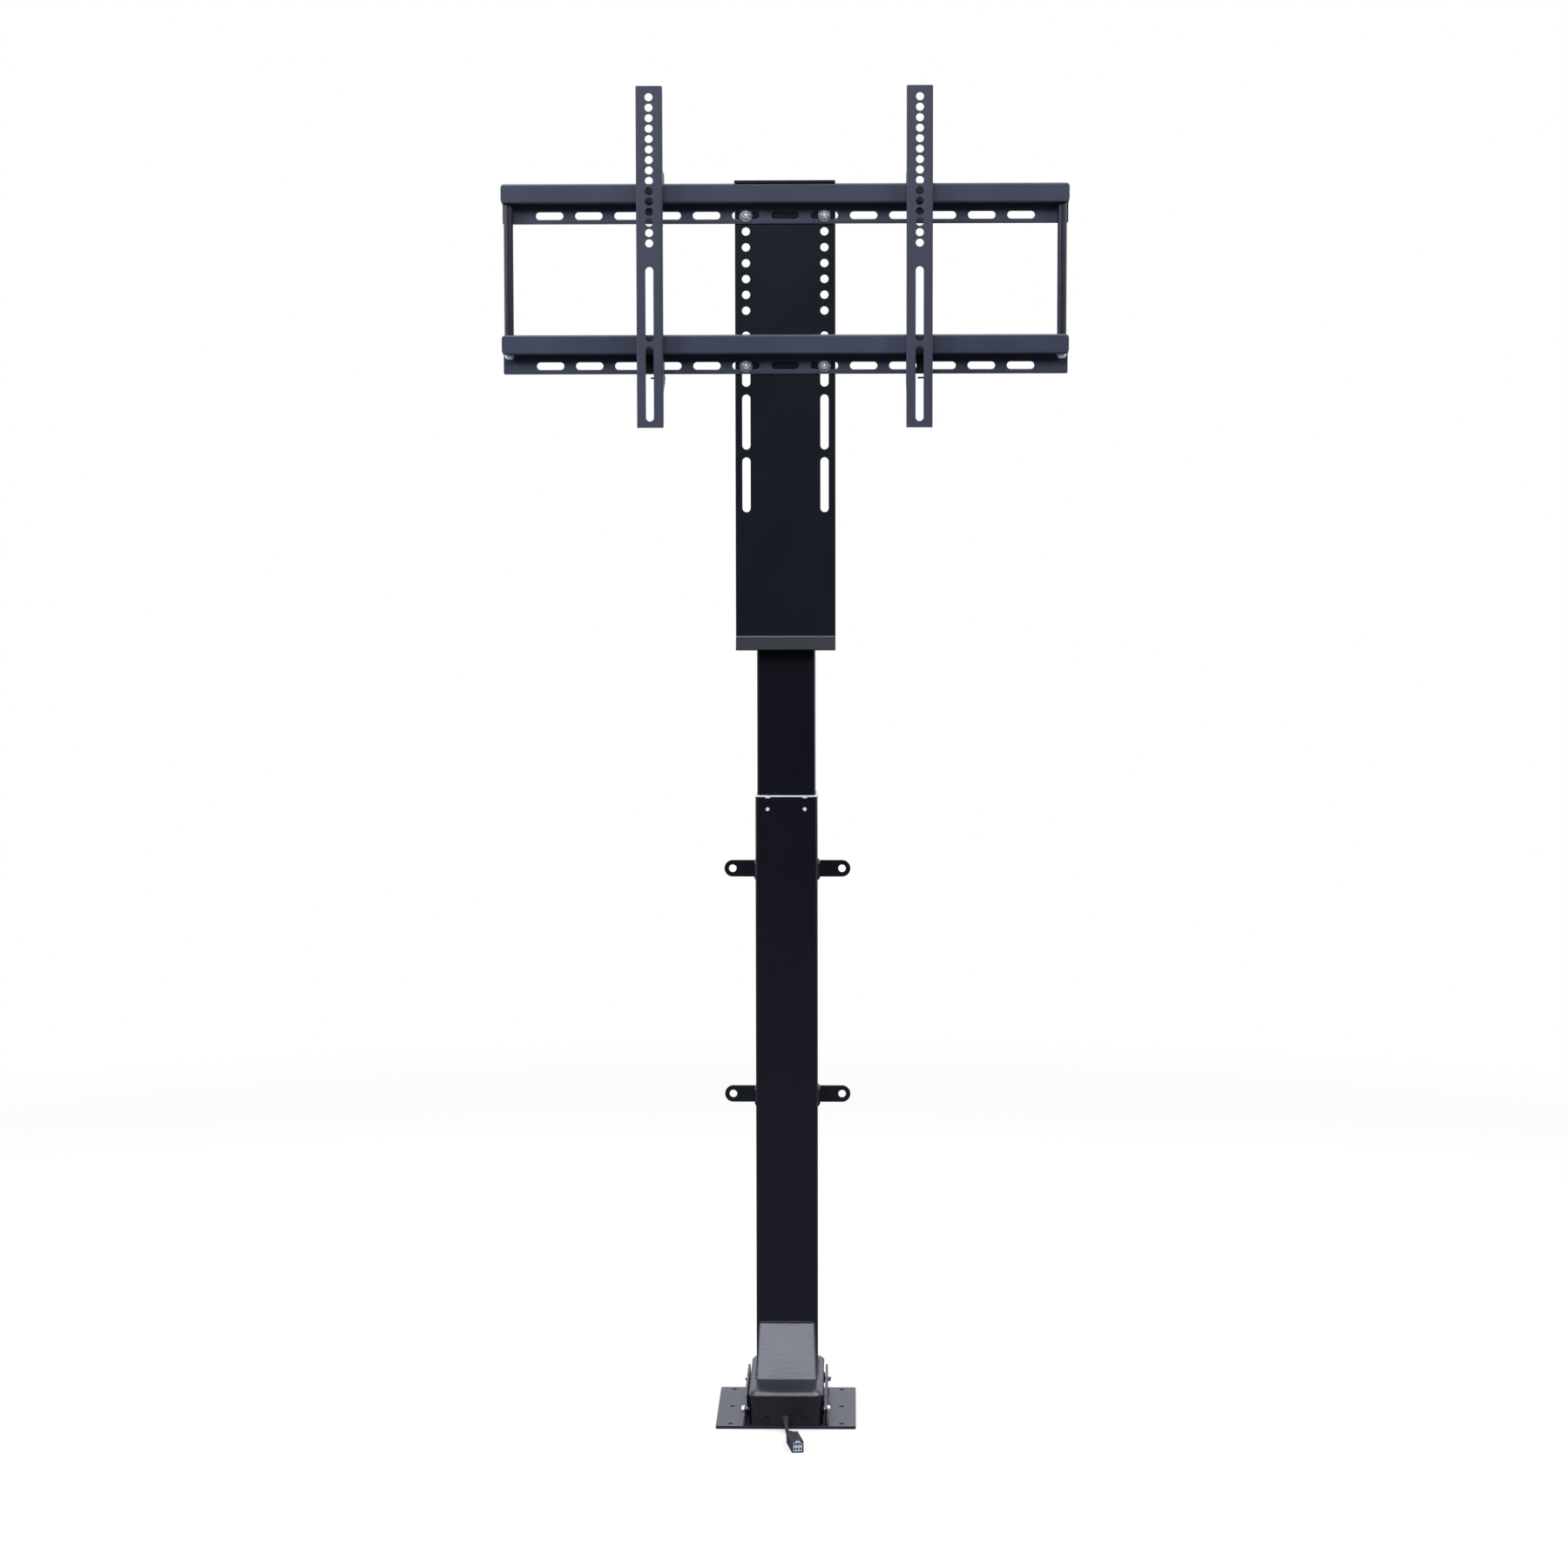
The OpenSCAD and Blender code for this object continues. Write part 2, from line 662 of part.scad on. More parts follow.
module mounting_plate() {
    b = plate_back;
    f = plate_front;
    t = plate_t;
    kick = 12;
    color(paint) difference() {
        union() {
            side_plate(-plate_w / 2, plate_w / 2) polygon([
                [b, plate_top - 1.5], [b - 1.5, plate_top], [rail_front - 2, plate_top],
                [rail_front - 2, plate_top - t], [f, plate_top - t], [f, plate_bottom + 20],
                [f - kick, plate_bottom], [b - kick + 0.4, plate_bottom], [b, plate_bottom + 19.2]]);
            for (x = [-bolt_x, bolt_x], z = [slot_z, slot_z - rail_pitch]) {
                along_y(17, b - 0.1, b + 1.5, x, z);
                translate([x, b + 6, z]) rotate([90, 0, 0]) cylinder(d = 13, h = 5, $fn = 6);
            }
        }
        for (x = [-bolt_x, bolt_x]) {
            for (k = [0:5]) along_y(10.5, f - 1, b + 1, x, slot_z - 20 - 20 * k);
            along_y(10.5, f - 1, b + 1, x, slot_z + 20);
            for (z = [slot_z, slot_z - rail_pitch]) along_y(6.2, f - 1, b + 8, x, z);
            difference() {
                for (z = plate_slots) y_slot(x, z, z + plate_slot_l, 10.5, f - 1, b + 1);
                along_y(17, f - 2, b + 2, x, slot_z - rail_pitch);
            }
        }
    }
}

// rail: slotted web with a boxed upper edge towards the front
module rail(zt) {
    f = rail_front;
    w = plate_front - 0.05;
    t = rail_t;
    color(paint) difference() {
        side_plate(-rail_w / 2, rail_w / 2) polygon([
            [w, zt - 49], [w, zt - 1.5], [w - 1.5, zt], [f + 1.5, zt], [f, zt - 1.5],
            [f, zt - 23.5], [f + 1, zt - 24.5], [w - t - 2.5, zt - 24.5], [w - t - 2.5, zt - 22],
            [f + t, zt - 22], [f + t, zt - t], [w - t, zt - t], [w - t, zt - 49]]);
        for (k = [-6:6]) {
            translate([k * slot_pitch, 0, zt - 38.5]) {
                for (s = [-1, 1]) along_y(slot_h, w - t - 1, w + 1, s * (slot_l - slot_h) / 2, 0);
                translate([-(slot_l - slot_h) / 2, w - t - 1, -slot_h / 2])
                    cube([slot_l - slot_h, t + 2, slot_h]);
            }
        }
        for (s = [-1, 1]) translate([s * bar_x, rail_front + bar_y, zt - 30])
            cylinder(d = zt > rail_top - 1 ? 8.3 : 6.4, h = zt > rail_top - 1 ? 12 : 40);
    }
}
module top_rail() { rail(rail_top); }
module bottom_rail() { rail(rail_top - rail_pitch); }

module rail_bolt(x, z) {
    y = plate_front - 0.05 - rail_t;
    color(zinc) {
        along_y(17, y - 1.5, y, x, z);
        translate([x, y - 1, z]) rotate([90, 0, 0]) cylinder(d = 11, h = 5, $fn = 6);
        along_y(7, y - 6.6, y - 5.5, x, z);
        along_y(5.9, y - 1, plate_back + 4.5, x, z);
    }
}
module rail_bolt_top_left() { rail_bolt(-bolt_x, slot_z); }
module rail_bolt_top_right() { rail_bolt(bolt_x, slot_z); }
module rail_bolt_bottom_left() { rail_bolt(-bolt_x, slot_z - rail_pitch); }
module rail_bolt_bottom_right() { rail_bolt(bolt_x, slot_z - rail_pitch); }

module side_bar(s) {
    z0 = rail_top - rail_pitch + 0.05;
    z1 = rail_top - 24.55;
    color(arm_paint) translate([s * bar_x, rail_front + bar_y, 0]) difference() {
        union() {
            translate([0, 0, z0]) cylinder(d = bar_d, h = z1 - z0);
            translate([0, 0, z1 - 1]) cylinder(d = 8, h = 8);
        }
        translate([0, 0, z0 - 1]) cylinder(d = 6.1, h = 18);
    }
}
module side_bar_left() { side_bar(-1); }
module side_bar_right() { side_bar(1); }

module bar_screw(s) {
    z = rail_top - rail_pitch - 24.6;
    color(zinc) translate([s * bar_x, rail_front + bar_y, 0]) difference() {
        union() {
            translate([0, 0, z - 3.4]) cylinder(d1 = 9, d2 = 12, h = 1.6);
            translate([0, 0, z - 1.8]) cylinder(d = 12, h = 1.8);
            translate([0, 0, z - 0.1]) cylinder(d = 6, h = 38);
        }
        translate([0, 0, z - 4]) cylinder(d = 4, h = 2.2, $fn = 6);
    }
}
module bar_screw_left() { bar_screw(-1); }
module bar_screw_right() { bar_screw(1); }

// hanging arm: channel with holes, hooked over the top rail
module arm(s) {
    t = 2;
    h = arm_w / 2;
    y0 = arm_front;
    back = plate_back + 4;
    zb = rail_top - rail_pitch;
    color(arm_paint) translate([s * arm_x, 0, 0]) difference() {
        union() {
            translate([-h, y0, arm_z0]) cube([arm_w, t, arm_z1 - arm_z0]);
            for (x = [-h, h - t]) side_plate(x, x + t) polygon([
                [y0, arm_z0], [y0 + 14, arm_z0], [y0 + 20, arm_z0 + 10], [y0 + 20, zb - 74],
                [plate_front - 8, zb - 64], [back, zb - 60], [back, zb - 50.2],
                [plate_front - 3.4, zb - 50.2], [plate_front - 3.4, zb - 26], [y0 + 22, zb - 26],
                [y0 + 20, zb - 24], [y0 + 20, rail_top - 20], [rail_front - 0.5, rail_top - 14],
                [rail_front - 0.5, rail_top + 0.4], [plate_front + 0.5, rail_top + 0.4],
                [plate_front + 0.5, rail_top - 16], [back, rail_top - 16], [back, rail_top + 8],
                [back - 6, rail_top + 14], [y0 + 20, rail_top + 16], [y0 + 20, arm_z1 - 8],
                [y0 + 14, arm_z1], [y0, arm_z1]]);
        }
        for (i = [0:arm_holes - 1]) along_y(arm_hole_d, y0 - 1, y0 + t + 1, 0, arm_hole_z - i * arm_hole_pitch);
        for (z = arm_slots) y_slot(0, z, z + arm_slot_l, arm_hole_d, y0 - 1, y0 + t + 1);
        along_x(pin_d + 0.2, 0, h + 1, plate_front - 1.3, zb - 54);
    }
}
module arm_left() { arm(-1); }
module arm_right() { arm(1); }

module lock_pin(s) {
    zb = rail_top - rail_pitch;
    h = arm_w / 2;
    color(black) translate([s * arm_x, 0, 0]) {
        along_x(pin_d, -1.5, h + 0.3, plate_front - 1.3, zb - 54);
        along_x(pin_d + 2.4, h + skin, h + 0.7, plate_front - 1.3, zb - 54);
    }
}
module lock_pin_left() { lock_pin(-1); }
module lock_pin_right() { lock_pin(1); }

base_plate();
ear_left();
ear_right();
ear_bolt_front_left();
ear_bolt_front_right();
ear_bolt_back_left();
ear_bolt_back_right();
motor_housing();
ramp_cover();
outer_tube();
lug_upper_left();
lug_upper_right();
lug_lower_left();
lug_lower_right();
glide_collar();
glide_pip_left();
glide_pip_right();
motor_can();
motor_end_bell();
gearbox_case();
gearbox_cap();
spindle_bearing();
strain_relief();
lead();
connector_shell();
connector_insert();
worm_shaft();
worm_wheel();
lower_screw();
middle_tube();
middle_foot();
lower_nut();
middle_glide();
middle_collar();
upper_bearing();
upper_screw();
inner_tube();
inner_foot();
upper_nut();
inner_glide();
head_bracket();
mounting_plate();
top_rail();
bottom_rail();
rail_bolt_top_left();
rail_bolt_top_right();
rail_bolt_bottom_left();
rail_bolt_bottom_right();
side_bar_left();
side_bar_right();
bar_screw_left();
bar_screw_right();
arm_left();
arm_right();
lock_pin_left();
lock_pin_right();
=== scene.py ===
import random
from math import cos, pi, radians, sin, sqrt, tan

import bmesh
import bpy
from mathutils import Matrix, Vector


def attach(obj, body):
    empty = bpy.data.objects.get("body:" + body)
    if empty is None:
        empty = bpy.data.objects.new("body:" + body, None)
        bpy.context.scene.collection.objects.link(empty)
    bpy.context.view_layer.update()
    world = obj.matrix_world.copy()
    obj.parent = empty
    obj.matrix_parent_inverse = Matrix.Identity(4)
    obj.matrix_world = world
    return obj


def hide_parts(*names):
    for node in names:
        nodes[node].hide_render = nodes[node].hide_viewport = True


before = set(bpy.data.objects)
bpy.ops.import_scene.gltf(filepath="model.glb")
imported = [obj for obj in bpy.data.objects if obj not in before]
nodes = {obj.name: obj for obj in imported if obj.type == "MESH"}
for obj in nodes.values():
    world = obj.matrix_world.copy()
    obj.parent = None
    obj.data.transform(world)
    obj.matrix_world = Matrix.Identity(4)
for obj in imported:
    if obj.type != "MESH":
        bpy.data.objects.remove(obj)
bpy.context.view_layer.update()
scene = bpy.context.scene
scene.view_settings.view_transform = "Standard"
MM = 0.001
SIDES = ((-1, "left"), (1, "right"))
X, Y, Z = (1, 0, 0), (0, 1, 0), (0, 0, 1)
FORWARD = (0, -1, 0)

# Sizes in millimetres, the same as in the solids
COLUMN_Y = 41
OUTER_W = 80
MIDDLE_W = 75
INNER_W = 70
OUTER_TOP = 806
MIDDLE_BOTTOM = 435
MIDDLE_TOP = 1191
INNER_BOTTOM = 880
INNER_TOP = 1580
TUBE_WALL = 1.5
TUBE_FRONT = COLUMN_Y - OUTER_W / 2
PIP_X = 24
PIP_Z = OUTER_TOP - 16
COLLAR_SLEEVE = 30
HOUSING_X = 48
HOUSING_Y = (-98, 110)
HOUSING_TOP = 48
HOUSING_RADIUS = 11
HOUSING_T = 1.5
CROWN_EDGE = 1.8
CROWN_R = 16
CROWN_TURN = 44
CROWN_LIP = 0.5
CROWN_LIP_DROP = 1.5
WALL_MIDDLE = 20
FRONT_HOLE_X = (-25.4, 25.4)
FRONT_HOLE_Z = 11.5
FRONT_HOLE_R = 3.4
LEAD_Z = 12
LEAD_HOLE_R = 4.3
BASE_X = 90
BASE_Y = 100
BASE_T = 4
BASE_HOLE_X = 71.5
BASE_HOLE_Y = 87.5
BASE_HOLE_R = 3.25
EAR_IN = 50
EAR_T = 3
EAR_BOLT_Y = (-87, 77)
EAR_BOLT_Z = 23
EAR_HOLE_R = 3.2
EAR_BOLT_HEX = 8.4
EAR_BOLT_HEX_H = 2.7
EAR_BOLT_FLANGE_R = 5.5
PLATE_BACK = -8
PLATE_T = 3
PLATE_FRONT = PLATE_BACK - PLATE_T
PLATE_TOP = 1592
PLATE_BOTTOM = 996
PLATE_HALF = 64
PLATE_PITCH = 20
PLATE_HOLE_D = 10.5
PLATE_SLOTS = (1333.5, 1253.5, 1173.5)
PLATE_SLOT_L = 70
PLATE_BEND = 3.5
KICK_BEND = 9
KICK_TURN = 31
BOLT_X = 50
BOLT_HOLE_R = 3.1
RAIL_TOP = 1588.5
RAIL_PITCH = 190
LOW_RAIL_TOP = RAIL_TOP - RAIL_PITCH
RAIL_H = 49
RAIL_BOX_H = 24.5
RAIL_T = 2.5
RAIL_FRONT = PLATE_FRONT - 28
RAIL_BACK = PLATE_FRONT - 0.05
RAIL_HALF = 360
RAIL_CORNER = 5
SLOT_DROP = 38.5
SLOT_Z = RAIL_TOP - SLOT_DROP
SLOT_PITCH = 50
SLOT_L = 35
SLOT_H = 9.5
BAR_X = 351.5
BAR_Y = RAIL_FRONT + 14
ARM_X = 170.5
ARM_W = 33
ARM_T = 2
ARM_BEND = 2.2
ARM_FRONT = -62
ARM_BOTTOM = 1280.5
ARM_TOP = 1708
ARM_HOLES = 15
ARM_HOLE_D = 10
ARM_HOLE_TOP = 1694
ARM_HOLE_PITCH = 13
ARM_SLOTS = (1388.5, 1288.5)
ARM_SLOT_L = 94
PIN_Y = PLATE_FRONT - 1.3
PIN_Z = LOW_RAIL_TOP - 54
RAMP_RISE = 67.5
RAMP_REACH = 35
RAMP_HALF = (36.2, 39.2)
RAMP_STEPS = 14
LUG_X = 72
LUG_R = 11
LUG_HOLE_R = 5
LUG_T = 3
LUG_LEG = 24
LUG_HEIGHTS = {"upper": 705, "lower": 405}

# Cool light of the photograph
LIGHT_TINT = (0.86, 0.88, 1.0)

# Camera of the photograph
CAMERA_AT = (0.0851, -4.5975, 1.2072)
CAMERA_PITCH = 4.776
CAMERA_YAW = 1.095
CAMERA_ROLL = -0.095
CAMERA_LENS = 81.945

# Brightness of the room in front, behind and above, and where front turns to back and level to above
ROOM_FRONT = 0.02
ROOM_BACK = 0.85
ROOM_TOP = 0.75
ROOM_TURN = (-0.15, 0.5)
ROOM_RISE = (0.25, 0.9)

# Metres from the middle where the floor fades to plain white, and the half size of the shade under the base
FLOOR_FADE = (2.1, 3.2)
FLOOR_UNDER = (("X", 0.088), ("Y", 0.098))


def new_object(name, data):
    made = bpy.data.objects.new(name, data)
    scene.collection.objects.link(made)
    return made


def make_camera():
    data = bpy.data.cameras.new("photo_camera")
    data.sensor_width = 36
    data.lens = CAMERA_LENS
    data.clip_end = 60
    camera = new_object("photo_camera", data)
    turn = Matrix.Rotation(radians(CAMERA_YAW), 4, "Z")
    tilt = Matrix.Rotation(radians(90 - CAMERA_PITCH), 4, "X")
    roll = Matrix.Rotation(radians(CAMERA_ROLL), 4, "Z")
    camera.matrix_world = Matrix.Translation(CAMERA_AT) @ turn @ tilt @ roll
    scene.camera = camera


def soft_light(name, size, power, place, aim):
    data = bpy.data.lights.new(name, "AREA")
    data.shape = "RECTANGLE"
    data.size, data.size_y = size
    data.energy = power
    data.color = LIGHT_TINT
    lamp = new_object(name, data)
    lamp.location = place
    lamp.rotation_euler = (Vector(aim) - Vector(place)).to_track_quat("-Z", "Y").to_euler()


# Node tree helpers
FLOAT = "NodeSocketFloat"
COLOR = "NodeSocketColor"
MIX_SLOTS = {"FLOAT": (2, 3, 0), "RGBA": (6, 7, 2)}


def feed(tree, socket, value):
    """Gives an input a constant, or links it to another node's output."""
    if isinstance(value, bpy.types.NodeSocket):
        tree.links.new(value, socket)
    else:
        socket.default_value = value


def add_node(tree, kind, *feeds, **values):
    """A new node: values go to its settings or inputs by name, feeds fill its inputs in order."""
    node = tree.nodes.new(kind)
    for key, value in values.items():
        if key in node.inputs:
            feed(tree, node.inputs[key], value)
        else:
            setattr(node, key, value)
    for socket, value in zip(node.inputs, feeds):
        feed(tree, socket, value)
    return node


def calc(tree, operation, a, b):
    """One step of arithmetic."""
    return add_node(tree, "ShaderNodeMath", a, b, operation=operation).outputs[0]


def map_range(tree, value, start, end, low, high, curve="LINEAR"):
    """A value carried over from start and end to low and high."""
    node = add_node(tree, "ShaderNodeMapRange", value, start, end, low, high, interpolation_type=curve)
    return node.outputs[0]


def blend(tree, kind, amount, a, b):
    """Two values or colours mixed by an amount."""
    node = add_node(tree, "ShaderNodeMix", amount, data_type=kind)
    first, second, result = MIX_SLOTS[kind]
    feed(tree, node.inputs[first], a)
    feed(tree, node.inputs[second], b)
    return node.outputs[result]


def object_place(tree):
    return add_node(tree, "ShaderNodeTexCoord").outputs["Object"]


def make_world():
    """White backdrop for the camera; for reflections it is bright behind and above, and dark in front."""
    world = bpy.data.worlds.new("studio")
    scene.world = world
    world.use_nodes = True
    tree = world.node_tree
    tree.nodes.clear()
    place = add_node(tree, "ShaderNodeTexCoord").outputs["Generated"]
    parts = add_node(tree, "ShaderNodeSeparateXYZ", place).outputs
    behind = map_range(tree, parts["Y"], *ROOM_TURN, ROOM_FRONT, ROOM_BACK, "SMOOTHSTEP")
    above = map_range(tree, parts["Z"], *ROOM_RISE, 0.0, ROOM_TOP, "SMOOTHSTEP")
    room = add_node(tree, "ShaderNodeBackground", (*LIGHT_TINT, 1), calc(tree, "MAXIMUM", behind, above))
    white = add_node(tree, "ShaderNodeBackground", (1, 1, 1, 1), 1.0)
    seen = add_node(tree, "ShaderNodeLightPath").outputs["Is Camera Ray"]
    both = add_node(tree, "ShaderNodeMixShader", seen, room.outputs[0], white.outputs[0])
    add_node(tree, "ShaderNodeOutputWorld", both.outputs[0])


def new_group(name, inputs, outputs):
    group = bpy.data.node_groups.new(name, "ShaderNodeTree")
    for label, kind, value in inputs:
        socket = group.interface.new_socket(label, in_out="INPUT", socket_type=kind)
        socket.default_value = value
    for label, kind in outputs:
        group.interface.new_socket(label, in_out="OUTPUT", socket_type=kind)
    start = group.nodes.new("NodeGroupInput")
    end = group.nodes.new("NodeGroupOutput")
    return group, start.outputs, end.inputs


def coat_group():
    """Powder coat: fine grain for the bump, slow cloudiness and a few pale specks for the colour."""
    group, given, end = new_group(
        "powder_coat",
        [("Colour", COLOR, (0.02, 0.02, 0.03, 1)), ("Speck Colour", COLOR, (0.2, 0.2, 0.22, 1)),
         ("Grain Size", FLOAT, 900.0), ("Clouds", FLOAT, 0.2), ("Specks", FLOAT, 0.3),
         ("Roughness", FLOAT, 0.4)],
        [("Colour", COLOR), ("Roughness", FLOAT), ("Grain", FLOAT)])
    place = object_place(group)
    grain = add_node(group, "ShaderNodeTexNoise", Vector=place, Scale=given["Grain Size"],
                     Detail=3.0, Roughness=0.6).outputs[0]
    cloud = add_node(group, "ShaderNodeTexNoise", Vector=place, Scale=9.0,
                     Detail=4.0, Roughness=0.55).outputs[0]
    darkest = calc(group, "SUBTRACT", 1.0, given["Clouds"])
    lightest = calc(group, "ADD", 1.0, given["Clouds"])
    shade = map_range(group, cloud, 0.3, 0.7, darkest, lightest)
    tint = add_node(group, "ShaderNodeVectorMath", given["Colour"], operation="SCALE", Scale=shade)
    cells = add_node(group, "ShaderNodeTexVoronoi", Vector=place, Scale=260.0, feature="F1").outputs
    near = calc(group, "LESS_THAN", cells["Distance"], 0.13)
    chance = add_node(group, "ShaderNodeSeparateColor", cells["Color"]).outputs[0]
    rare = calc(group, "GREATER_THAN", chance, 0.93)
    speck = calc(group, "MULTIPLY", calc(group, "MULTIPLY", near, rare), given["Specks"])
    feed(group, end["Colour"], blend(group, "RGBA", speck, tint.outputs[0], given["Speck Colour"]))
    uneven = map_range(group, cloud, 0.0, 1.0, 0.88, 1.12)
    feed(group, end["Roughness"], calc(group, "MULTIPLY", given["Roughness"], uneven))
    feed(group, end["Grain"], grain)
    return group


def streak_group():
    """Long fine marks along one direction, as drawing or grinding leaves."""
    group, given, end = new_group(
        "draw_marks",
        [("Across", FLOAT, 500.0), ("Along", FLOAT, 6.0)],
        [("Marks", FLOAT)])
    stretch = add_node(group, "ShaderNodeCombineXYZ", given["Across"], given["Across"], given["Along"])
    scaled = add_node(group, "ShaderNodeVectorMath", object_place(group), stretch.outputs[0],
                      operation="MULTIPLY")
    noise = add_node(group, "ShaderNodeTexNoise", Vector=scaled.outputs[0], Scale=1.0, Detail=3.0,
                     Roughness=0.6)
    feed(group, end["Marks"], noise.outputs[0])
    return group


COAT = coat_group()
MARKS = streak_group()


def new_material(name):
    material = bpy.data.materials.new(name)
    material.use_nodes = True
    tree = material.node_tree
    return material, tree, tree.nodes["Principled BSDF"]


def use_group(tree, group, values):
    """A group node with its inputs filled, as its outputs."""
    node = add_node(tree, "ShaderNodeGroup", node_tree=group)
    for label, value in values.items():
        node.inputs[label].default_value = value
    return node.outputs


def dress_shader(tree, shader, color, roughness, height, strength, distance):
    """Feeds a shader its colour, its roughness and a bump."""
    bump = add_node(tree, "ShaderNodeBump", Strength=strength, Distance=distance, Height=height)
    feed(tree, shader.inputs["Base Color"], color)
    feed(tree, shader.inputs["Roughness"], roughness)
    feed(tree, shader.inputs["Normal"], bump.outputs[0])


def coated(name, color, roughness, grain_size, grain, clouds=0.12, specks=0.25, marks=0.0, gloss=0.5,
           across=260.0, along=4.0):
    """Painted steel: powder coat grain, with drawn marks showing through where marks is above 0."""
    material, tree, shader = new_material(name)
    paint = use_group(tree, COAT, {
        "Colour": (*color, 1), "Speck Colour": (*[min(1, c * 3 + 0.06) for c in color], 1),
        "Grain Size": grain_size, "Clouds": clouds, "Specks": specks, "Roughness": roughness})
    height = paint["Grain"]
    if marks:
        lines = use_group(tree, MARKS, {"Across": across, "Along": along})
        height = blend(tree, "FLOAT", marks, height, lines["Marks"])
    dress_shader(tree, shader, paint["Colour"], paint["Roughness"], height, grain, 0.0004)
    shader.inputs["Specular IOR Level"].default_value = gloss
    return material


def metal(name, color, roughness, across, along, marks, pure=1.0):
    """Bare or plated metal with fine tool marks and slightly uneven gloss."""
    varied = 0.12
    material, tree, shader = new_material(name)
    lines = use_group(tree, MARKS, {"Across": across, "Along": along})["Marks"]
    uneven = map_range(tree, lines, 0.0, 1.0, roughness * (1 - varied * 2), roughness * (1 + varied * 2))
    darker = (*[c * (1 - varied) for c in color], 1)
    lighter = (*[min(1, c * (1 + varied)) for c in color], 1)
    dress_shader(tree, shader, blend(tree, "RGBA", lines, darker, lighter), uneven, lines, marks, 0.0002)
    shader.inputs["Metallic"].default_value = pure
    return material


def plastic(name, color, roughness, grain=0.12, size=1400.0, scatter=0.0):
    """Moulded plastic or rubber with a fine spark eroded grain."""
    material, tree, shader = new_material(name)
    paint = use_group(tree, COAT, {
        "Colour": (*color, 1), "Grain Size": size, "Clouds": 0.06, "Specks": 0.0,
        "Roughness": roughness})
    dress_shader(tree, shader, paint["Colour"], paint["Roughness"], paint["Grain"], grain, 0.0002)
    shader.inputs["Subsurface Weight"].default_value = scatter
    shader.inputs["Subsurface Scale"].default_value = 0.002
    return material


SATIN = coated("satin_black_coat", (0.008, 0.0095, 0.015), 0.26, 700.0, 0.14)
TUBE = coated("black_tube_paint", (0.0055, 0.006, 0.0105), 0.24, 700.0, 0.1, marks=0.55)
RAMP = coated("ground_ramp_paint", (0.022, 0.023, 0.032), 0.23, 500.0, 0.7, marks=0.85,
              across=16.0, along=150.0)
WELD = coated("painted_weld", (0.022, 0.023, 0.032), 0.16, 400.0, 0.3)
# Pale weld paint, a painted highlight: it makes the bead along the ramp's foot shine
FOOT_BEAD_HIGHLIGHT = coated("weld_painted_highlight", (0.14, 0.145, 0.18), 0.24, 400.0, 0.3)
SHELL = coated("drawn_shell_coat", (0.010, 0.010, 0.013), 0.28, 700.0, 0.1, gloss=0.75)
BASE = coated("base_plate_paint", (0.026, 0.027, 0.036), 0.28, 700.0, 0.2)
RAIL = coated("rail_coat", (0.048, 0.057, 0.084), 0.34, 800.0, 0.22)
ARM = coated("grey_arm_coat", (0.040, 0.047, 0.070), 0.46, 1100.0, 0.5, clouds=0.08, specks=0.4)
BAR = coated("side_bar_coat", (0.018, 0.020, 0.030), 0.3, 900.0, 0.2, marks=0.4)
ZINC = metal("bright_zinc", (0.66, 0.66, 0.67), 0.3, 500.0, 60.0, 0.15, pure=0.8)
# Pale, mostly non-metallic steel: a painted reflection that keeps the bolt ends and the screw heads under the
# lower rail bright, also in shade
SHINE_PAINTED_STEEL = metal("steel_painted_shine", (0.85, 0.85, 0.87), 0.26, 500.0, 60.0, 0.15, pure=0.35)
WASHER = metal("plated_washer", (0.6, 0.6, 0.62), 0.24, 500.0, 60.0, 0.15, pure=0.9)
STEEL = metal("turned_steel", (0.50, 0.50, 0.51), 0.32, 90.0, 900.0, 0.25)
STEEL_BLACK = metal("blackened_steel", (0.05, 0.05, 0.055), 0.3, 500.0, 60.0, 0.1, pure=0.5)
BRONZE = metal("turned_bronze", (0.62, 0.46, 0.24), 0.34, 90.0, 900.0, 0.25)
NYLON = plastic("white_nylon", (0.86, 0.87, 0.89), 0.42, scatter=0.15)
BLACK = plastic("black_moulding", (0.022, 0.022, 0.025), 0.42)
JACKET = plastic("lead_jacket", (0.02, 0.02, 0.022), 0.5, grain=0.2, size=900.0)
SOCKET = plastic("pale_socket", (0.70, 0.78, 0.86), 0.38, scatter=0.1)


# Mesh helpers, all in millimetres
def shade_evenly(piece, smooth):
    """Smooth shading with sharp edges above an angle."""
    piece.data.shade_smooth()
    piece.data.set_sharp_from_angle(angle=radians(smooth))
    even = piece.modifiers.new("even_shading", "WEIGHTED_NORMAL")
    even.keep_sharp = True
    even.weight = 90


def to_object(name, shape):
    """Turns a bmesh in millimetres into an object in metres."""
    bmesh.ops.scale(shape, vec=(MM, MM, MM), verts=shape.verts)
    mesh = bpy.data.meshes.new(name)
    shape.to_mesh(mesh)
    shape.free()
    return new_object(name, mesh)


def finish_piece(name, shape, material, body, stands_for=(), smooth=35):
    """Makes a finished piece that rides on a body and may stand for solids."""
    bmesh.ops.remove_doubles(shape, verts=shape.verts, dist=0.004)
    bmesh.ops.recalc_face_normals(shape, faces=shape.faces)
    piece = to_object(name, shape)
    piece.data.materials.append(material)
    shade_evenly(piece, smooth)
    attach(piece, body)
    if stands_for:
        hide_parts(*stands_for)
    return piece


def add_mesh(shape, mesh, matrix):
    """Adds a mesh to a bmesh, moved by a matrix."""
    mesh.transform(matrix)
    shape.from_mesh(mesh)
    bpy.data.meshes.remove(mesh)

def evaluated_mesh(thing):
    bpy.context.view_layer.update()
    return bpy.data.meshes.new_from_object(thing.evaluated_get(bpy.context.evaluated_depsgraph_get()))



def arc(cx, cy, radius, start, end, steps):
    return [(cx + radius * cos(radians(start + (end - start) * i / steps)),
             cy + radius * sin(radians(start + (end - start) * i / steps)))
            for i in range(steps + 1)]


def circle(cx, cy, radius, steps=32):
    return arc(cx, cy, radius, 0, 360 - 360 / steps, steps - 1)

